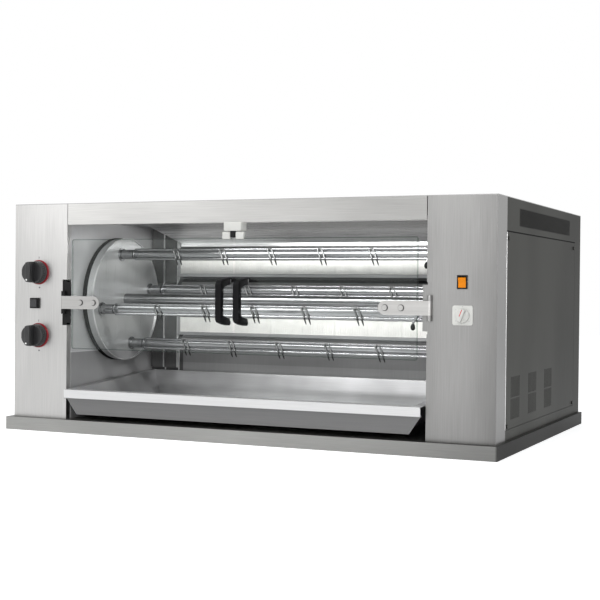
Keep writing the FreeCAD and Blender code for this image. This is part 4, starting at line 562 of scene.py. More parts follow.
def turned_mesh(name, axis, centre, profile, sides=48, sharp=35, ends=True):
    """A turned body from (place along the axis, radius) pairs."""
    main, first, second = TURN_AXES[axis]
    turns = [2 * math.pi * side / sides for side in range(sides)]
    rings = []
    for place, radius in profile:
        middle = Vector(centre) + main * place
        rings.append([middle + (first * math.cos(a) + second * math.sin(a)) * radius for a in turns])
    return rings_mesh(name, rings, ends, sharp)


# %% A swept wire
def eased(before, start, end, after, t):
    """A place between start and end on a smooth line that also heeds the points next to them."""
    return 0.5 * ((2 * start) + (end - before) * t
                  + (2 * before - 5 * start + 4 * end - after) * t * t
                  + (3 * start - before - 3 * end + after) * t ** 3)


def swept_mesh(name, points, radii, sides=10, smooth_steps=5):
    """A round wire through points, rounded at its bends, with a radius at each point."""
    line, sizes = [], []
    last = len(points) - 1
    places = [Vector(p) for p in points]
    for index in range(last):
        near = [places[min(max(index + offset, 0), last)] for offset in (-1, 0, 1, 2)]
        for step in range(smooth_steps):
            t = step / smooth_steps
            line.append(eased(*near, t))
            sizes.append(radii[index] * (1 - t) + radii[index + 1] * t)
    line.append(places[-1])
    sizes.append(radii[-1])
    side = (line[1] - line[0]).orthogonal().normalized()
    rings = []
    for index, place in enumerate(line):
        ahead = line[min(index + 1, len(line) - 1)] - line[max(index - 1, 0)]
        side = (side - ahead * (side.dot(ahead) / ahead.length_squared)).normalized()
        other = ahead.normalized().cross(side)
        rings.append([
            place + (side * math.cos(a) + other * math.sin(a)) * sizes[index]
            for a in (2 * math.pi * k / sides for k in range(sides))
        ])
    return rings_mesh(name, rings, sharp=60)


# %% A block with rounded edges
def block_mesh(name, low, high, rounding=0.001, segments=2):
    """A block between two corners with rounded edges."""
    shell = bmesh.new()
    bmesh.ops.create_cube(shell, size=1)
    low, high = Vector(low), Vector(high)
    for vert in shell.verts:
        vert.co = Vector((vert.co[i] + 0.5) * (high[i] - low[i]) + low[i] for i in range(3))
    if rounding:
        bmesh.ops.bevel(shell, geom=shell.edges[:], offset=rounding, segments=segments, profile=0.5,
                        affect="EDGES", clamp_overlap=True)
    return closed(shell, name, 50)


print("mesh helpers ready")

# %% [markdown]
# ## Repeats by Geometry Nodes
# Prongs, ribs, clips, flutes and slots are one shape many times. Copied by hand, each would have to be
# mended by itself. A small tree places the shape on each point of a mesh, makes the copies real and
# gives them their finish, so a row is changed by its points or its scale and not piece by piece.

# %% The tree that repeats a shape on points
def repeat_tree():
    """Inputs: the points, the shape as an object, its scale and its finish."""
    tree = bpy.data.node_groups.new("repeat_on_points", "GeometryNodeTree")
    face = tree.interface
    face.new_socket("Points", in_out="INPUT", socket_type="NodeSocketGeometry")
    face.new_socket("Shape", in_out="INPUT", socket_type="NodeSocketObject")
    face.new_socket("Scale", in_out="INPUT", socket_type="NodeSocketFloat")
    face.new_socket("Finish", in_out="INPUT", socket_type="NodeSocketMaterial")
    face.new_socket("Copies", in_out="OUTPUT", socket_type="NodeSocketGeometry")
    enter = tree.nodes.new("NodeGroupInput")
    leave = tree.nodes.new("NodeGroupOutput")
    shape = tree.nodes.new("GeometryNodeObjectInfo")
    place = tree.nodes.new("GeometryNodeInstanceOnPoints")
    real = tree.nodes.new("GeometryNodeRealizeInstances")
    paint = tree.nodes.new("GeometryNodeSetMaterial")
    for giver, output, taker, taken in (
        (enter, "Points", place, "Points"),
        (enter, "Shape", shape, "Object"),
        (shape, "Geometry", place, "Instance"),
        (enter, "Scale", place, "Scale"),
        (place, "Instances", real, "Geometry"),
        (real, "Geometry", paint, "Geometry"),
        (enter, "Finish", paint, "Material"),
        (paint, "Geometry", leave, "Copies"),
    ):
        tree.links.new(giver.outputs[output], taker.inputs[taken])
    return tree


REPEAT = repeat_tree()
SOCKETS = {item.name: item.identifier for item in REPEAT.interface.items_tree if item.in_out == "INPUT"}
print("inputs of the tree:", sorted(SOCKETS))


# %% Copies on points, made one plain mesh
def repeated_mesh(name, shape_mesh, points, material, scale=1.0):
    """Copies of a mesh on points, as one plain mesh."""
    shape = bpy.data.objects.new(name + "_shape", shape_mesh)
    dots = bpy.data.meshes.new(name + "_points")
    dots.from_pydata([tuple(p) for p in points], [], [])
    holder = bpy.data.objects.new(name + "_holder", dots)
    for item in (shape, holder):
        bpy.context.scene.collection.objects.link(item)
    modifier = holder.modifiers.new("repeat", "NODES")
    modifier.node_group = REPEAT
    modifier[SOCKETS["Shape"]] = shape
    modifier[SOCKETS["Scale"]] = scale
    modifier[SOCKETS["Finish"]] = material
    graph = bpy.context.evaluated_depsgraph_get()
    mesh = bpy.data.meshes.new_from_object(holder.evaluated_get(graph))
    for item in (shape, holder):
        bpy.data.objects.remove(item)
    mesh.name = name
    print(name, len(points), "copies,", len(mesh.vertices), "points")
    return mesh


# %% [markdown]
# ## Spits
# Each spit is a folded channel that turns with its socket. Five pairs of prongs are welded along it:
# bent wires with a small loop at the top and two leaning tines that end in dark tips. A wire hook
# with a black bulb at its right end serves to draw it out. The four spits are the same, so one is made
# about its own axis and then moved to each place.

# %% The channel
SPIT_START, SPIT_END = -0.398, 0.430
CHANNEL_TALL, CHANNEL_DEEP, CHANNEL_SHEET, CHANNEL_BEND = 0.030, 0.010, 0.002, 0.0016
GROOVE_DEEP, GROOVE_OUTSIDE, GROOVE_MIDDLE, GROOVE_INSIDE = 0.0016, 0.0100, 0.0085, 0.0070
FACE = -CHANNEL_DEEP / 2


def channel_mesh():
    """The folded channel, open to the back, with rounded folds and two pressed grooves."""
    half, back = CHANNEL_TALL / 2, FACE + CHANNEL_DEEP
    fold, slope = CHANNEL_BEND, CHANNEL_BEND / 3
    upper = [
        (FACE, GROOVE_INSIDE), (FACE + GROOVE_DEEP, GROOVE_MIDDLE), (FACE, GROOVE_OUTSIDE),
        (FACE, half - fold), (FACE + slope, half - slope), (FACE + fold, half), (back, half),
        (back, half - CHANNEL_SHEET), (FACE + CHANNEL_SHEET, half - CHANNEL_SHEET),
    ]
    section = upper + [(y, -z) for y, z in reversed(upper)]
    rings = [[(x, y, z) for y, z in section] for x in (SPIT_START, SPIT_END)]
    return rings_mesh("channel", rings, sharp=50)


channel = channel_mesh()
print("channel", SPIT_END - SPIT_START, "m long")

# %% Prongs
PRONG_PITCH, PRONG_COUNT = 0.135, 5
PRONG_WIRE, PRONG_REACH, PRONG_LEAN, PRONG_APART = 0.0020, 0.028, 0.014, 0.0058
LOOP_LOW, LEAN_START = 0.004, 0.35  # the tines start this far below the loop and lean from this share


def prong_pair(tips):
    """One bent wire: a small loop at the top and two parallel tines, or only their dark tips."""
    front = FACE - PRONG_WIRE + 0.0005
    top = CHANNEL_TALL / 2 - 0.002

    def on_tine(side, share):
        """A place on a tine, from 0 at the loop to 1 at the tip."""
        x = side * PRONG_APART + PRONG_LEAN * (share - LEAN_START)
        tine_top = top - LOOP_LOW
        return Vector((x, front - PRONG_WIRE * share, tine_top - (tine_top + PRONG_REACH) * share))

    shell = bmesh.new()
    if tips:
        for side in (-1, 1):
            line = [on_tine(side, share) for share in (0.58, 0.80, 1.0)]
            shell.from_mesh(swept_mesh("tip", line, [0.0021, 0.0020, 0.0010], sides=8, smooth_steps=3))
    else:
        line = [on_tine(-1, share) for share in (0.60, 0.30, 0.0)]
        line += [Vector((-PRONG_LEAN * 0.38, front, top))]
        line += [on_tine(1, share) for share in (0.0, 0.30, 0.60)]
        shell.from_mesh(swept_mesh("prong", line, [PRONG_WIRE] * len(line), sides=8, smooth_steps=4))
    return closed(shell, "prong_pair", 60)


prong_places = [(PRONG_PITCH * (n - (PRONG_COUNT - 1) / 2), 0, 0) for n in range(PRONG_COUNT)]
prongs = repeated_mesh("prongs", prong_pair(False), prong_places, prong_steel)
tips = repeated_mesh("prong_tips", prong_pair(True), prong_places, matt_black)

# %% End discs with their pins, hook and bulb
LEFT_PIN, RIGHT_PIN, DISC, DISC_THICK, DISC_EDGE = 0.0080, 0.0060, 0.0150, 0.003, 0.0005
HOOK_WIRE, HOOK_OUT, HOOK_DROP = 0.0024, 0.012, 0.020
BULB = [(0.0, 0.0024), (-0.002, 0.0034), (-0.005, 0.0050), (-0.0085, 0.0055), (-0.012, 0.0050),
        (-0.0145, 0.0034), (-0.0155, 0.0012)]  # height from the hook's end, radius


def end_disc(start):
    """The profile of a disc with softened edges, from its left face."""
    return [(start, DISC - DISC_EDGE), (start + DISC_EDGE, DISC),
            (start + DISC_THICK - DISC_EDGE, DISC), (start + DISC_THICK, DISC - DISC_EDGE)]


left_end = turned_mesh("left_end", "X", (0, 0, 0), [
    (SPIT_START - 0.0255, LEFT_PIN - 0.0012), (SPIT_START - 0.0245, LEFT_PIN), (SPIT_START, LEFT_PIN),
    *end_disc(SPIT_START)])
right_end = turned_mesh("right_end", "X", (0, 0, 0), [
    *end_disc(SPIT_END - DISC_THICK),
    (SPIT_END, RIGHT_PIN), (SPIT_END + 0.0265, RIGHT_PIN), (SPIT_END + 0.028, RIGHT_PIN - 0.0015)])
bend_y = FACE - HOOK_OUT / 2
hook = swept_mesh("hook", [
    (SPIT_END - 0.002, FACE + 0.001, 0), (SPIT_END - 0.007, bend_y + 0.002, 0.001),
    (SPIT_END - HOOK_OUT, bend_y, -0.0005), (SPIT_END - 2 * HOOK_OUT, bend_y, -HOOK_DROP)],
    [HOOK_WIRE] * 4, sides=10)
bulb_top = (SPIT_END - 2 * HOOK_OUT, bend_y, -HOOK_DROP - HOOK_WIRE + 0.002)
bulb = turned_mesh("bulb", "Z", bulb_top, BULB, sides=20)
print("hook drops", HOOK_DROP, "m")

# %% Four spits in their places
ORBIT, PHASE = 0.120, math.radians(12)  # of the spits round the drum's axis
AXIS_Y, AXIS_Z = -0.181, 0.331


def moved(mesh, place):
    """A copy of a mesh, shifted."""
    copy = mesh.copy()
    copy.transform(Matrix.Translation(place))
    return copy


spit_parts = [(channel, bar_steel), (prongs, prong_steel), (tips, matt_black), (left_end, bar_steel),
              (right_end, bar_steel), (hook, bar_steel), (bulb, handle_black)]
for number in range(4):
    name = f"spit_{number + 1}"
    low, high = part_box(name)
    turn = PHASE + number * math.pi / 2
    place = Vector((0, AXIS_Y + ORBIT * math.cos(turn), AXIS_Z + ORBIT * math.sin(turn)))
    print(name, "axis", [round(c, 4) for c in place], "CAD box", [round(c, 3) for c in (*low, *high)])
    parts = [(moved(mesh, place), material) for mesh, material in spit_parts]
    piece(f"dressed_{name}", parts, f"spit_body_{number + 1}", [name])

# %% [markdown]
# ## Bow handles
# Each door is pulled by a black moulded bow: a straight grip between two thick feet that splay a
# little where they meet the glass. A swept wire would give it a round grip, but the real one is flat
# at its sides. So the side view is drawn once and made as wide as the grip, and rounded edges give the
# look of a moulding. The nuts behind the glass belong to it.

# %% Handles
HANDLE_X, HANDLE_SHIFT, HANDLE_Z, HANDLE_HALF_WIDTH = 0.023, 0.008, 0.331, 0.008
GLASS_FRONT, GLASS_BACK = -0.416, -0.411
BOW_ROUNDING, NUT_HEIGHT = 0.0022, 0.049
BOW = [  # half of the side view from the lower foot up: reach before the glass, height
    (0.0, -0.056), (0.024, -0.0528), (0.043, -0.048), (0.049, -0.041), (0.049, 0.0),
]
BOW_INSIDE = [(0.034, 0.0), (0.034, -0.029), (0.030, -0.033), (0.014, -0.0375), (0.0, -0.039)]


def bow_mesh(x):
    """The side view of the bow, as wide as the grip, with all edges rounded."""
    outside = BOW + [(reach, -z) for reach, z in BOW[-2::-1]]
    inside = [(reach, -z) for reach, z in BOW_INSIDE[::-1]] + BOW_INSIDE[1:]
    outline = [(GLASS_FRONT - reach, HANDLE_Z + z) for reach, z in outside + inside]
    shell = bmesh.new()
    sides = [[shell.verts.new((x + across, y, z)) for y, z in outline]
             for across in (-HANDLE_HALF_WIDTH, HANDLE_HALF_WIDTH)]
    count = len(outline)
    for i in range(count):
        j = (i + 1) % count
        shell.faces.new((sides[0][i], sides[0][j], sides[1][j], sides[1][i]))
    shell.faces.new(sides[0])
    shell.faces.new(sides[1])
    bmesh.ops.recalc_face_normals(shell, faces=shell.faces)
    bmesh.ops.bevel(shell, geom=shell.edges[:], offset=BOW_ROUNDING, segments=3, profile=0.5,
                    affect="EDGES", clamp_overlap=True)
    return closed(shell, "bow", 50)


for side, sign in (("left", -1), ("right", 1)):
    x = sign * HANDLE_X + HANDLE_SHIFT
    parts = [(bow_mesh(x), handle_black)]
    for z in (-NUT_HEIGHT, NUT_HEIGHT):
        nut = turned_mesh("nut", "Y", (x, 0, HANDLE_Z + z), [
            (GLASS_FRONT, 0.003), (GLASS_BACK, 0.003), (GLASS_BACK, 0.0052),
            (GLASS_BACK + 0.0006, 0.0055), (GLASS_BACK + 0.0026, 0.0055), (GLASS_BACK + 0.003, 0.0050)],
            sides=6, sharp=20)
        parts.append((nut, gear_steel))
    piece(f"{side}_bow_handle", parts, f"{side}_door", [f"{side}_door_handle"])

# %% [markdown]
# ## Gas knobs
# A knob has a round skirt, a raised front that fills its left part and a bar on that front, with a
# white dot at the lower end of the bar. Blocks set on a round skirt would stand over its edge. The
# skirt is a turned body, and the raised parts are slices of a circle between two upright cuts, so
# their ends follow the skirt.

# %% A slice of a circle
ARC_STEPS = 14


def slice_mesh(x, z, radius, low, high, back, front, rounding):
    """A slice of a round knob between two upright cuts. Its front edges are drawn in."""
    first, last = math.acos(high / radius), math.acos(low / radius)
    turns = [first + (last - first) * k / ARC_STEPS for k in range(ARC_STEPS + 1)]
    turns += [-a for a in reversed(turns)]
    outline = [(math.cos(a) * radius, math.sin(a) * radius) for a in turns]
    middle, half_width = (low + high) / 2, (high - low) / 2
    edge = [(back, 0), (front + rounding, 0), (front + rounding * 0.35, rounding * 0.25), (front, rounding)]
    rings = []
    for y, inset in edge:
        wide, tall = 1 - inset / half_width, 1 - inset / radius
        rings.append([(x + middle + (px - middle) * wide, y, z + pz * tall) for px, pz in outline])
    return rings_mesh("slice", rings, sharp=50)


print("slices have", 2 * (ARC_STEPS + 1), "points round them")

# %% Knobs with their dots
FRONT = -0.409  # y of the columns' front face, and a smaller y stands before it
KNOB_X, KNOB_HEIGHTS = -0.557, {"upper": 0.398, "lower": 0.239}
FLUTE_COUNT, FLUTE_RING, FLUTE_Y = 28, 0.0263, FRONT - 0.0165
FLUTE = [(-0.0045, 0.0004), (-0.0038, 0.0009), (0.0038, 0.0009), (0.0045, 0.0004)]


def knob_parts(x, z):
    """The skirt with its flutes, the raised front, the bar and the dot."""
    rear = FRONT - 0.0045
    skirt = turned_mesh("skirt", "Y", (x, 0, z), [
        (FRONT + 0.028, 0.004), (rear, 0.004), (rear, 0.0277), (rear - 0.0008, 0.0285),
        (rear - 0.0065, 0.0283), (rear - 0.0080, 0.0275), (rear - 0.0100, 0.0262),
        (FRONT - 0.0205, 0.0256), (FRONT - 0.0220, 0.0240)], sides=64, sharp=30)
    shoulder = slice_mesh(x, z, radius=0.0262, low=-0.0255, high=0.002,
                          back=FRONT - 0.021, front=FRONT - 0.039, rounding=0.0030)
    grip = slice_mesh(x, z, radius=0.0258, low=-0.011, high=0.003,
                      back=FRONT - 0.036, front=FRONT - 0.044, rounding=0.0020)
    dot = turned_mesh("dot", "Y", (x - 0.0060, 0, z - 0.0195), [
        (FRONT - 0.0430, 0.0022), (FRONT - 0.0442, 0.0022), (FRONT - 0.0443, 0.0018)], sides=20)
    turns = [2 * math.pi * k / FLUTE_COUNT for k in range(FLUTE_COUNT)]
    places = [(x + math.cos(a) * FLUTE_RING, FLUTE_Y, z + math.sin(a) * FLUTE_RING) for a in turns]
    flutes = repeated_mesh("flutes", turned_mesh("rib", "Y", (0, 0, 0), FLUTE, sides=6), places, knob_black)
    return [(mesh, knob_black) for mesh in (skirt, shoulder, grip, flutes)] + [(dot, dot_white)]


for level, z in KNOB_HEIGHTS.items():
    parts = knob_parts(KNOB_X, z)
    piece(f"{level}_fluted_knob", parts, f"{level}_gas_knob", [f"{level}_knob"])

# %% Bezels with a rounded lip, and the small printed marks on the column
BEZEL = [(0.0, 0.0056), (0.0, 0.0310), (0.0028, 0.0308), (0.0038, 0.0298), (0.0040, 0.0284),
         (0.0034, 0.0272), (0.0034, 0.0056)]  # how far it stands out, radius
PRINT_THICK = 0.0001
TICK_HALF_WIDTH, TICK_LOW, TICK_HIGH = 0.0008, 0.0345, 0.0395
DROP_SHIFT, DROP_BELOW, DROP_RADIUS = 0.002, 0.0385, 0.0021
bezels, marks = [], []
for z in KNOB_HEIGHTS.values():
    profile = [(FRONT - out, radius) for out, radius in BEZEL]
    bezels.append((turned_mesh("bezel", "Y", (KNOB_X, 0, z), profile, sides=72, sharp=35), bezel_red))
    tick = block_mesh("tick", (KNOB_X - TICK_HALF_WIDTH, FRONT - PRINT_THICK, z + TICK_LOW),
                      (KNOB_X + TICK_HALF_WIDTH, FRONT, z + TICK_HIGH), rounding=0)
    drop = turned_mesh("drop", "Y", (KNOB_X + DROP_SHIFT, 0, z - DROP_BELOW),
                       [(FRONT, DROP_RADIUS), (FRONT - PRINT_THICK, DROP_RADIUS)], sides=12)
    marks += [(tick, print_grey), (drop, print_grey)]
piece("red_bezels", bezels, "casing", ["knob_bezels"])
piece("knob_marks", marks, "casing")

# %% [markdown]
# ## White rotary switch
# A square white plate with rounded corners carries a white knob: a low round skirt with a tapered
# grip across it, turned a little off upright, and a thin red line on the grip that points to the
# setting. Short grey ticks stand round it. A bevelled cube can't have corners rounder than its front
# edge, so the plate is a skin over drawn rings.

# %% Plate of the rotary switch
DIAL_X, DIAL_Z = 0.554, 0.3085
PLATE_WIDE, PLATE_TALL, PLATE_THICK, PLATE_CORNER = 0.046, 0.043, 0.0025, 0.005
CORNER_STEPS = 5
TICK_DEGREES, TICK_OUT, TICK_UP = (40, 90, 140, 220, 320), 0.0192, 0.0188


def rounded_plate(x, z, wide, tall, corner, back, front):
    """A plate with round corners and a softened front edge."""
    outline = []
    for sx, sz, start in ((1, 1, 0), (-1, 1, 90), (-1, -1, 180), (1, -1, 270)):
        middle_x, middle_z = sx * (wide / 2 - corner), sz * (tall / 2 - corner)
        for k in range(CORNER_STEPS + 1):
            a = math.radians(start + 90 / CORNER_STEPS * k)
            outline.append((middle_x + math.cos(a) * corner, middle_z + math.sin(a) * corner))
    rings = []
    for y, inset in ((back, 0), (front + 0.0008, 0), (front + 0.0002, 0.0003), (front, 0.0009)):
        across, upright = 1 - 2 * inset / wide, 1 - 2 * inset / tall
        rings.append([(x + px * across, y, z + pz * upright) for px, pz in outline])
    return rings_mesh("plate", rings, sharp=50)


plate = rounded_plate(DIAL_X, DIAL_Z, PLATE_WIDE, PLATE_TALL, PLATE_CORNER, FRONT, FRONT - PLATE_THICK)
hub_profile = [(FRONT + 0.024, 0.0078), (FRONT - 0.001, 0.008)]
hub = turned_mesh("hub", "Y", (DIAL_X, 0, DIAL_Z), hub_profile, sides=32)
ticks = []
for degrees in TICK_DEGREES:
    a = math.radians(degrees)
    middle = (DIAL_X + math.cos(a) * TICK_OUT, 0, DIAL_Z + math.sin(a) * TICK_UP)
    tick = turned_mesh("tick", "Y", middle, [(FRONT - 0.0024, 0.0007), (FRONT - 0.0026, 0.0006)], sides=10)
    ticks.append((tick, print_grey))
parts = [(plate, switch_white), (hub, switch_white)] + ticks
piece("rotary_plate", parts, "casing", ["switch_plate"])

# %% Knob of the rotary switch
DIAL_TURN = 22  # degrees off upright at rest


def dial_parts():
    """Skirt, grip and pointer, the last two drawn upright and then turned together."""
    rear = FRONT - PLATE_THICK - 0.0005
    skirt = turned_mesh("dial_skirt", "Y", (DIAL_X, 0, DIAL_Z), [
        (FRONT + 0.018, 0.003), (rear, 0.003), (rear, 0.0154), (rear - 0.0006, 0.0160),
        (rear - 0.0040, 0.0158), (rear - 0.0055, 0.0146), (rear - 0.0060, 0.0130)], sides=48)
    grip = slice_mesh(0, 0, radius=0.0145, low=-0.0048, high=0.0048,
                      back=rear - 0.0055, front=FRONT - 0.018, rounding=0.0016)
    line = block_mesh("pointer", (-0.0026, FRONT - 0.0182, -0.003), (-0.0010, FRONT - 0.0178, 0.0128),
                      rounding=0)
    tilt = Matrix.Translation((DIAL_X, 0, DIAL_Z)) @ Matrix.Rotation(math.radians(DIAL_TURN), 4, "Y")
    for mesh in (grip, line):
        mesh.transform(tilt)
    return [(skirt, switch_white), (grip, switch_white), (line, pointer_red)]


piece("rotary_knob", dial_parts(), "dial", ["switch_knob"])

# %% [markdown]
# ## Painted shadows round the bolts of the hinge straps
# Each strap is held by two bolts. In the photograph a shadow round their heads lifts them off the
# steel. Painting it on the strap would look flat from the side, so the painted shadow is a thin dark
# ring that lies under each head: a turned ring whose profile closes on itself.

# %% Painted shadow rings under the bolt heads
STRAP_FRONT, STRAP_Z = GLASS_FRONT - 0.0025, 0.323
BOLT_IN, BOLT_PITCH = 0.016, 0.038  # from the strap's end to its first bolt, and on to the second
SHADOW_RING_IN, SHADOW_RING_OUT, SHADOW_RING_THICK = 0.0058, 0.0074, 0.0006


def closed_band(near, far, inner, outer):
    """The profile of a flat band between two places and two radii."""
    return [(near, inner), (near, outer), (far, outer), (far, inner), (near, inner)]


# painted shadow: a thin dark ring under each bolt head
bolt_shadow_profile = closed_band(STRAP_FRONT - SHADOW_RING_THICK, STRAP_FRONT, SHADOW_RING_IN, SHADOW_RING_OUT)
for side, sign in (("left", -1), ("right", 1)):
    low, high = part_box(f"{side}_hinge_strap")
    strap_end = low.x if sign > 0 else high.x
    bolt_shadows = []
    for number in range(2):
        middle = (strap_end + sign * (BOLT_IN + number * BOLT_PITCH), 0, STRAP_Z)
        bolt_shadow = turned_mesh("bolt_shadow", "Y", middle, bolt_shadow_profile, sides=28, ends=False)
        bolt_shadows.append((bolt_shadow, button_black))
    piece(f"{side}_strap_washers", bolt_shadows, f"{side}_door")

# %% [markdown]
# ## Door catch and keepers
# Small white mouldings hold the doors at the top: a block under the fascia with a black magnet below
# it, and a keeper clipped to each pane. The CAD solids have sharp edges that catch no light. Each is
# made again as blocks with rounded edges, in the space of its CAD node.

# %% Catch and keepers
CATCH_LOW, MAGNET_LOW, MAGNET_HALF = 0.496, 0.481, 0.006
MAGNET_NEAR, MAGNET_FAR = 0.001, 0.013  # behind the catch's front
CAP_LOW, CAP_LIP = 0.4805, 0.001
low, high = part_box("door_catch")
catch = block_mesh("catch", (low.x, low.y, CATCH_LOW), high, rounding=0.0018)
magnet = block_mesh("magnet", (-MAGNET_HALF, low.y + MAGNET_NEAR, MAGNET_LOW),
                    (MAGNET_HALF, low.y + MAGNET_FAR, CATCH_LOW), rounding=0.0010)
parts = [(catch, switch_white), (magnet, matt_black)]
piece("moulded_catch", parts, "casing", ["door_catch"])
for side in ("left", "right"):
    low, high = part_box(f"{side}_door_keeper")
    face = block_mesh("keeper", low, (high.x, GLASS_FRONT, high.z), rounding=0.0014)
    cap = block_mesh("cap", (low.x, GLASS_FRONT - CAP_LIP, CAP_LOW), high, rounding=0.0010)
    parts = [(face, switch_white), (cap, switch_white)]
    piece(f"{side}_keeper", parts, f"{side}_door", [f"{side}_door_keeper"])

# %% [markdown]
# ## Ribs and clips of the ceramic burners
# The burner tiles are pressed ceramic with fine upright ribs. At the top of each tile a short wire
# clip holds it in the frame. Bump alone would leave the ribs out of the exported mesh. Both are rows
# of one small shape, so Geometry Nodes repeat them.

# %% Ribs and clips
TILE_COUNT, RIB_PITCH, RIB_RADIUS, RIB_TIP = 9, 0.0066, 0.0010, 0.0003
CLIP_LINE = [(-0.041, 0.001, 0), (-0.040, -0.0012, 0), (0.040, -0.0012, 0), (0.041, 0.001, 0)]
CLIP_WIRE, CLIP_BELOW, FACE_GAP = 0.0007, 0.003, 0.0004
for level in ("upper", "lower"):
    low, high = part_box(f"{level}_ceramic_tiles")
    width = (high.x - low.x) / TILE_COUNT
    ribs = int(width / RIB_PITCH)
    half = (high.z - low.z) / 2 - RIB_RADIUS
    rib = turned_mesh("rib", "Z", (0, 0, 0), [
        (-half, RIB_TIP), (-half + RIB_RADIUS, RIB_RADIUS), (half - RIB_RADIUS, RIB_RADIUS), (half, RIB_TIP)],
        sides=6, sharp=70)
    places = [(low.x + width * (tile + (k + 0.5) / ribs), low.y + FACE_GAP, (low.z + high.z) / 2)
              for tile in range(TILE_COUNT) for k in range(ribs)]
    rows = repeated_mesh(f"{level}_ribs", rib, places, fired_ceramic)
    clip = swept_mesh("clip", CLIP_LINE, [CLIP_WIRE] * len(CLIP_LINE), sides=6, smooth_steps=2)
    spots = [(low.x + width * (tile + 0.5), low.y - FACE_GAP, high.z - CLIP_BELOW)
             for tile in range(TILE_COUNT)]
    clips = repeated_mesh(f"{level}_clips", clip, spots, gear_steel)
    piece(f"{level}_tile_ribs", [(rows, fired_ceramic)], "casing")
    piece(f"{level}_tile_clips", [(clips, gear_steel)], "casing")

# %% [markdown]
# ## Painted shadow and highlights, slots and seams
# A black ring of painted shadow runs round the drum where it meets the wall, and a bright bead of
# painted highlight lies near its face. Below the lip of the hood four short slots show as dark dashes.
# On the right side a bright strip of painted highlight marks the folded edge at the front of the
# service panel, and a dark seam its top. Bands in a finish would blur at such thin lines, so they are
# thin pieces that lie on the sheet that has them. Dark sheets of painted shade behind the side's slots
# keep light out of them.

# %% Painted shadow ring and highlight bead round the drum
RING_NEAR, RING_FAR, RING_IN, RING_OUT = -0.4700, -0.4590, 0.1590, 0.1613
BEAD_NEAR, BEAD_FAR, BEAD_IN, BEAD_OUT = -0.4418, -0.4390, RING_IN - 0.001, RING_OUT - 0.0005


def drum_band(*limits):
    """A flat band round the drum."""
    return turned_mesh("ring", "X", (0, AXIS_Y, AXIS_Z), closed_band(*limits), sides=128, ends=False)


# painted shadow where the drum meets the wall, and a painted highlight near its face
ring = drum_band(RING_NEAR, RING_FAR, RING_IN, RING_OUT)
bead = drum_band(BEAD_NEAR, BEAD_FAR, BEAD_IN, BEAD_OUT)
piece("drum_ring", [(ring, shade_black)], "rotor")
piece("drum_bead", [(bead, painted_highlight_steel)], "rotor")

# %% Slots below the hood
WALL_Y = 0.001
SLOT_PLACES = (-0.165, -0.0285, 0.109, 0.2554)
SLOT_Z, SLOT_LONG, SLOT_TALL = 0.4672, 0.026, 0.005
slot_shape = block_mesh("slot", (-SLOT_LONG / 2, -0.0006, -SLOT_TALL / 2),
                        (SLOT_LONG / 2, 0.0002, SLOT_TALL / 2), rounding=0.0005, segments=1)
slots = repeated_mesh("hood_slots", slot_shape, [(x, WALL_Y, SLOT_Z) for x in SLOT_PLACES], shade_black)
piece("hood_slots", [(slots, shade_black)], "casing")

# %% Painted highlight on the edge, and the seam, of the service panel
PANEL_IN, PANEL_BEFORE = 0.0010, 0.0012  # how far both reach into the panel, and stand before it
EDGE_PROUD, EDGE_DEEP, SEAM_PROUD, SEAM_TALL = 0.0006, 0.0004, 0.0002, 0.0030
low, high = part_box("right_service_panel")
near = (high.x - PANEL_IN, low.y - PANEL_BEFORE)
# painted highlight: a bright strip along the panel's folded front edge
edge_highlight_strip = block_mesh("edge", (*near, low.z), (high.x + EDGE_PROUD, low.y + EDGE_DEEP, high.z),
                        rounding=0.0004)
seam_strip = block_mesh("seam", (*near, high.z), (high.x + SEAM_PROUD, high.y, high.z + SEAM_TALL),
                        rounding=0)
piece("service_edges", [(edge_highlight_strip, painted_highlight_steel), (seam_strip, shade_black)], "casing")

# %% Painted shade: dark sheets behind the slots of the right side
SIDE_IN, SHADE_SHEET_THICK = 0.6262, 0.0012
SLOT_SHADE_PLACES = [  # depth from and to, height from and to
    (-0.235, 0.300, 0.505, 0.545),
    (-0.300, 0.400, 0.070, 0.235),
]
shade_sheets = []
# painted shade: dark sheets inside the side keep its slots dark
for y0, y1, z0, z1 in SLOT_SHADE_PLACES:
    shade_sheet = block_mesh("shade_sheet", (SIDE_IN - SHADE_SHEET_THICK, y0, z0), (SIDE_IN, y1, z1), rounding=0.0004, segments=1)
    shade_sheets.append((shade_sheet, shade_black))
piece("slot_felts", shade_sheets, "casing")

# %% [markdown]
# ## Studio
# A pale floor runs on into a white background. Lamps are broad and soft and stay at a plain level, so
# a colour looks as it was written. The white behind the machine comes from the world and the floor
# themselves, for rays from the camera and for rays that metal or glass send on, so it doesn't light
# the machine any more than the lamps do. The tiles are brighter in the photograph than the front is,
# and stronger lamps would spoil the front, so a strip lamp behind the fascia lights the chamber.

# %% World
def seen_rays(tree):
    """1 for rays from the camera and for those that metal or glass send on."""
    rays = add(tree, "ShaderNodeLightPath")
    both = sums(tree, "MAXIMUM", rays.outputs["Is Camera Ray"], rays.outputs["Is Glossy Ray"])
    return sums(tree, "MAXIMUM", both, rays.outputs["Is Transmission Ray"])


WHITE = (1, 1, 1, 1)
WORLD_LIGHT, WORLD_TINT = 0.50, (0.95, 0.97, 1, 1)
world = bpy.data.worlds.new("studio")
bpy.context.scene.world = world
world.use_nodes = True
tree = world.node_tree
tree.nodes.clear()
seen = add(tree, "ShaderNodeBackground", {"Color": WHITE, "Strength": 1.0})
soft = add(tree, "ShaderNodeBackground", {"Color": WORLD_TINT, "Strength": WORLD_LIGHT})
mix = add(tree, "ShaderNodeMixShader", {0: seen_rays(tree), 1: soft.outputs[0], 2: seen.outputs[0]})
tree.links.new(mix.outputs[0], add(tree, "ShaderNodeOutputWorld").inputs[0])
print("world light", WORLD_LIGHT)

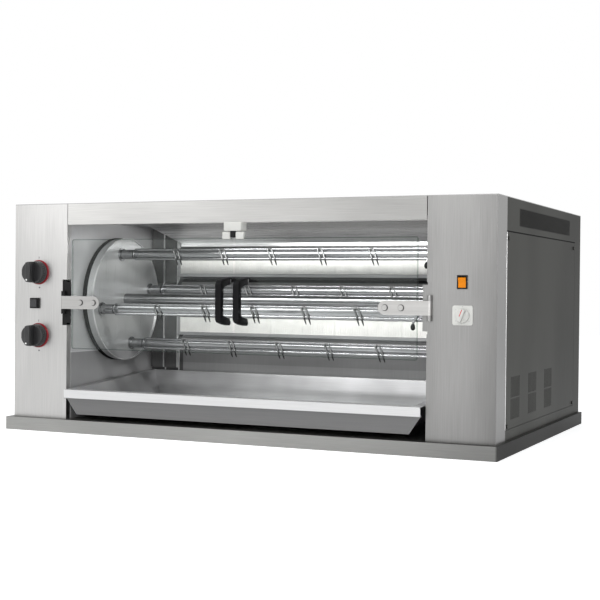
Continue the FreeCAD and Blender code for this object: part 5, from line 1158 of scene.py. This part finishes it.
# %% Floor
FLOOR_HALF, FLOOR_Z = 7.0, -0.0003  # a hair below the plinth
FLOOR_GREY, FLOOR_GLOW = 0.80, 0.62
material, tree, shader = start_finish("studio_floor")
speck = steps(tree, grain_noise(tree, (60, 60, 60), detail=2), [(0.3, 0.985), (0.7, 1.015)])
tree.links.new(tinted(tree, FLOOR_GREY, speck), shader.inputs["Base Color"])
shader.inputs["Roughness"].default_value = 0.9
shader.inputs["Specular IOR Level"].default_value = 0.1
shader.inputs["Emission Color"].default_value = WHITE
tree.links.new(sums(tree, "MULTIPLY", seen_rays(tree), FLOOR_GLOW), shader.inputs["Emission Strength"])
corners = [(x * FLOOR_HALF, y * FLOOR_HALF, FLOOR_Z) for x, y in ((-1, -1), (1, -1), (1, 1), (-1, 1))]
floor_mesh = bpy.data.meshes.new("floor")
floor_mesh.from_pydata(corners, [], [range(len(corners))])
floor_mesh.materials.append(material)
floor = bpy.data.objects.new("floor", floor_mesh)
bpy.context.scene.collection.objects.link(floor)
print("floor", 2 * FLOOR_HALF, "m square")

# %% Lamps
def shine(name, power, turned, place):
    """An area lamp of so many watts, turned by a matrix and put in its place."""
    lamp = bpy.data.objects.new(name, bpy.data.lights.new(name, "AREA"))
    lamp.data.energy = power
    lamp.matrix_world = Matrix.Translation(place) @ turned
    bpy.context.scene.collection.objects.link(lamp)
    print(name, power, "W")
    return lamp.data


LAMPS = [  # name, place, aim, width, power
    ("key_lamp", (-1.9, -2.3, 2.5), (0, -0.2, 0.3), 1.6, 42),
    ("front_lamp", (0.9, -2.9, 1.3), (0, -0.2, 0.25), 0.9, 20),
    ("low_lamp", (1.0, -3.0, 0.58), (0, 0, 0.3), 0.8, 8),
    ("top_lamp", (0.2, 0.2, 2.6), (0, 0, 0.5), 1.8, 22),
]
for name, place, aim, width, power in LAMPS:
    ahead = (Vector(aim) - Vector(place)).to_track_quat("-Z", "Y")
    shine(name, power, ahead.to_matrix().to_4x4(), place).size = width

# %% A strip lamp inside the chamber, behind the fascia
STRIP_PLACE, STRIP_LONG, STRIP_WIDE = (0.11, -0.385, 0.508), 0.68, 0.03
STRIP_POWER, STRIP_TILT = 2.7, 66
strip = shine("chamber_strip", STRIP_POWER, Matrix.Rotation(math.radians(STRIP_TILT), 4, "X"), STRIP_PLACE)
strip.shape = "RECTANGLE"
strip.size, strip.size_y = STRIP_LONG, STRIP_WIDE
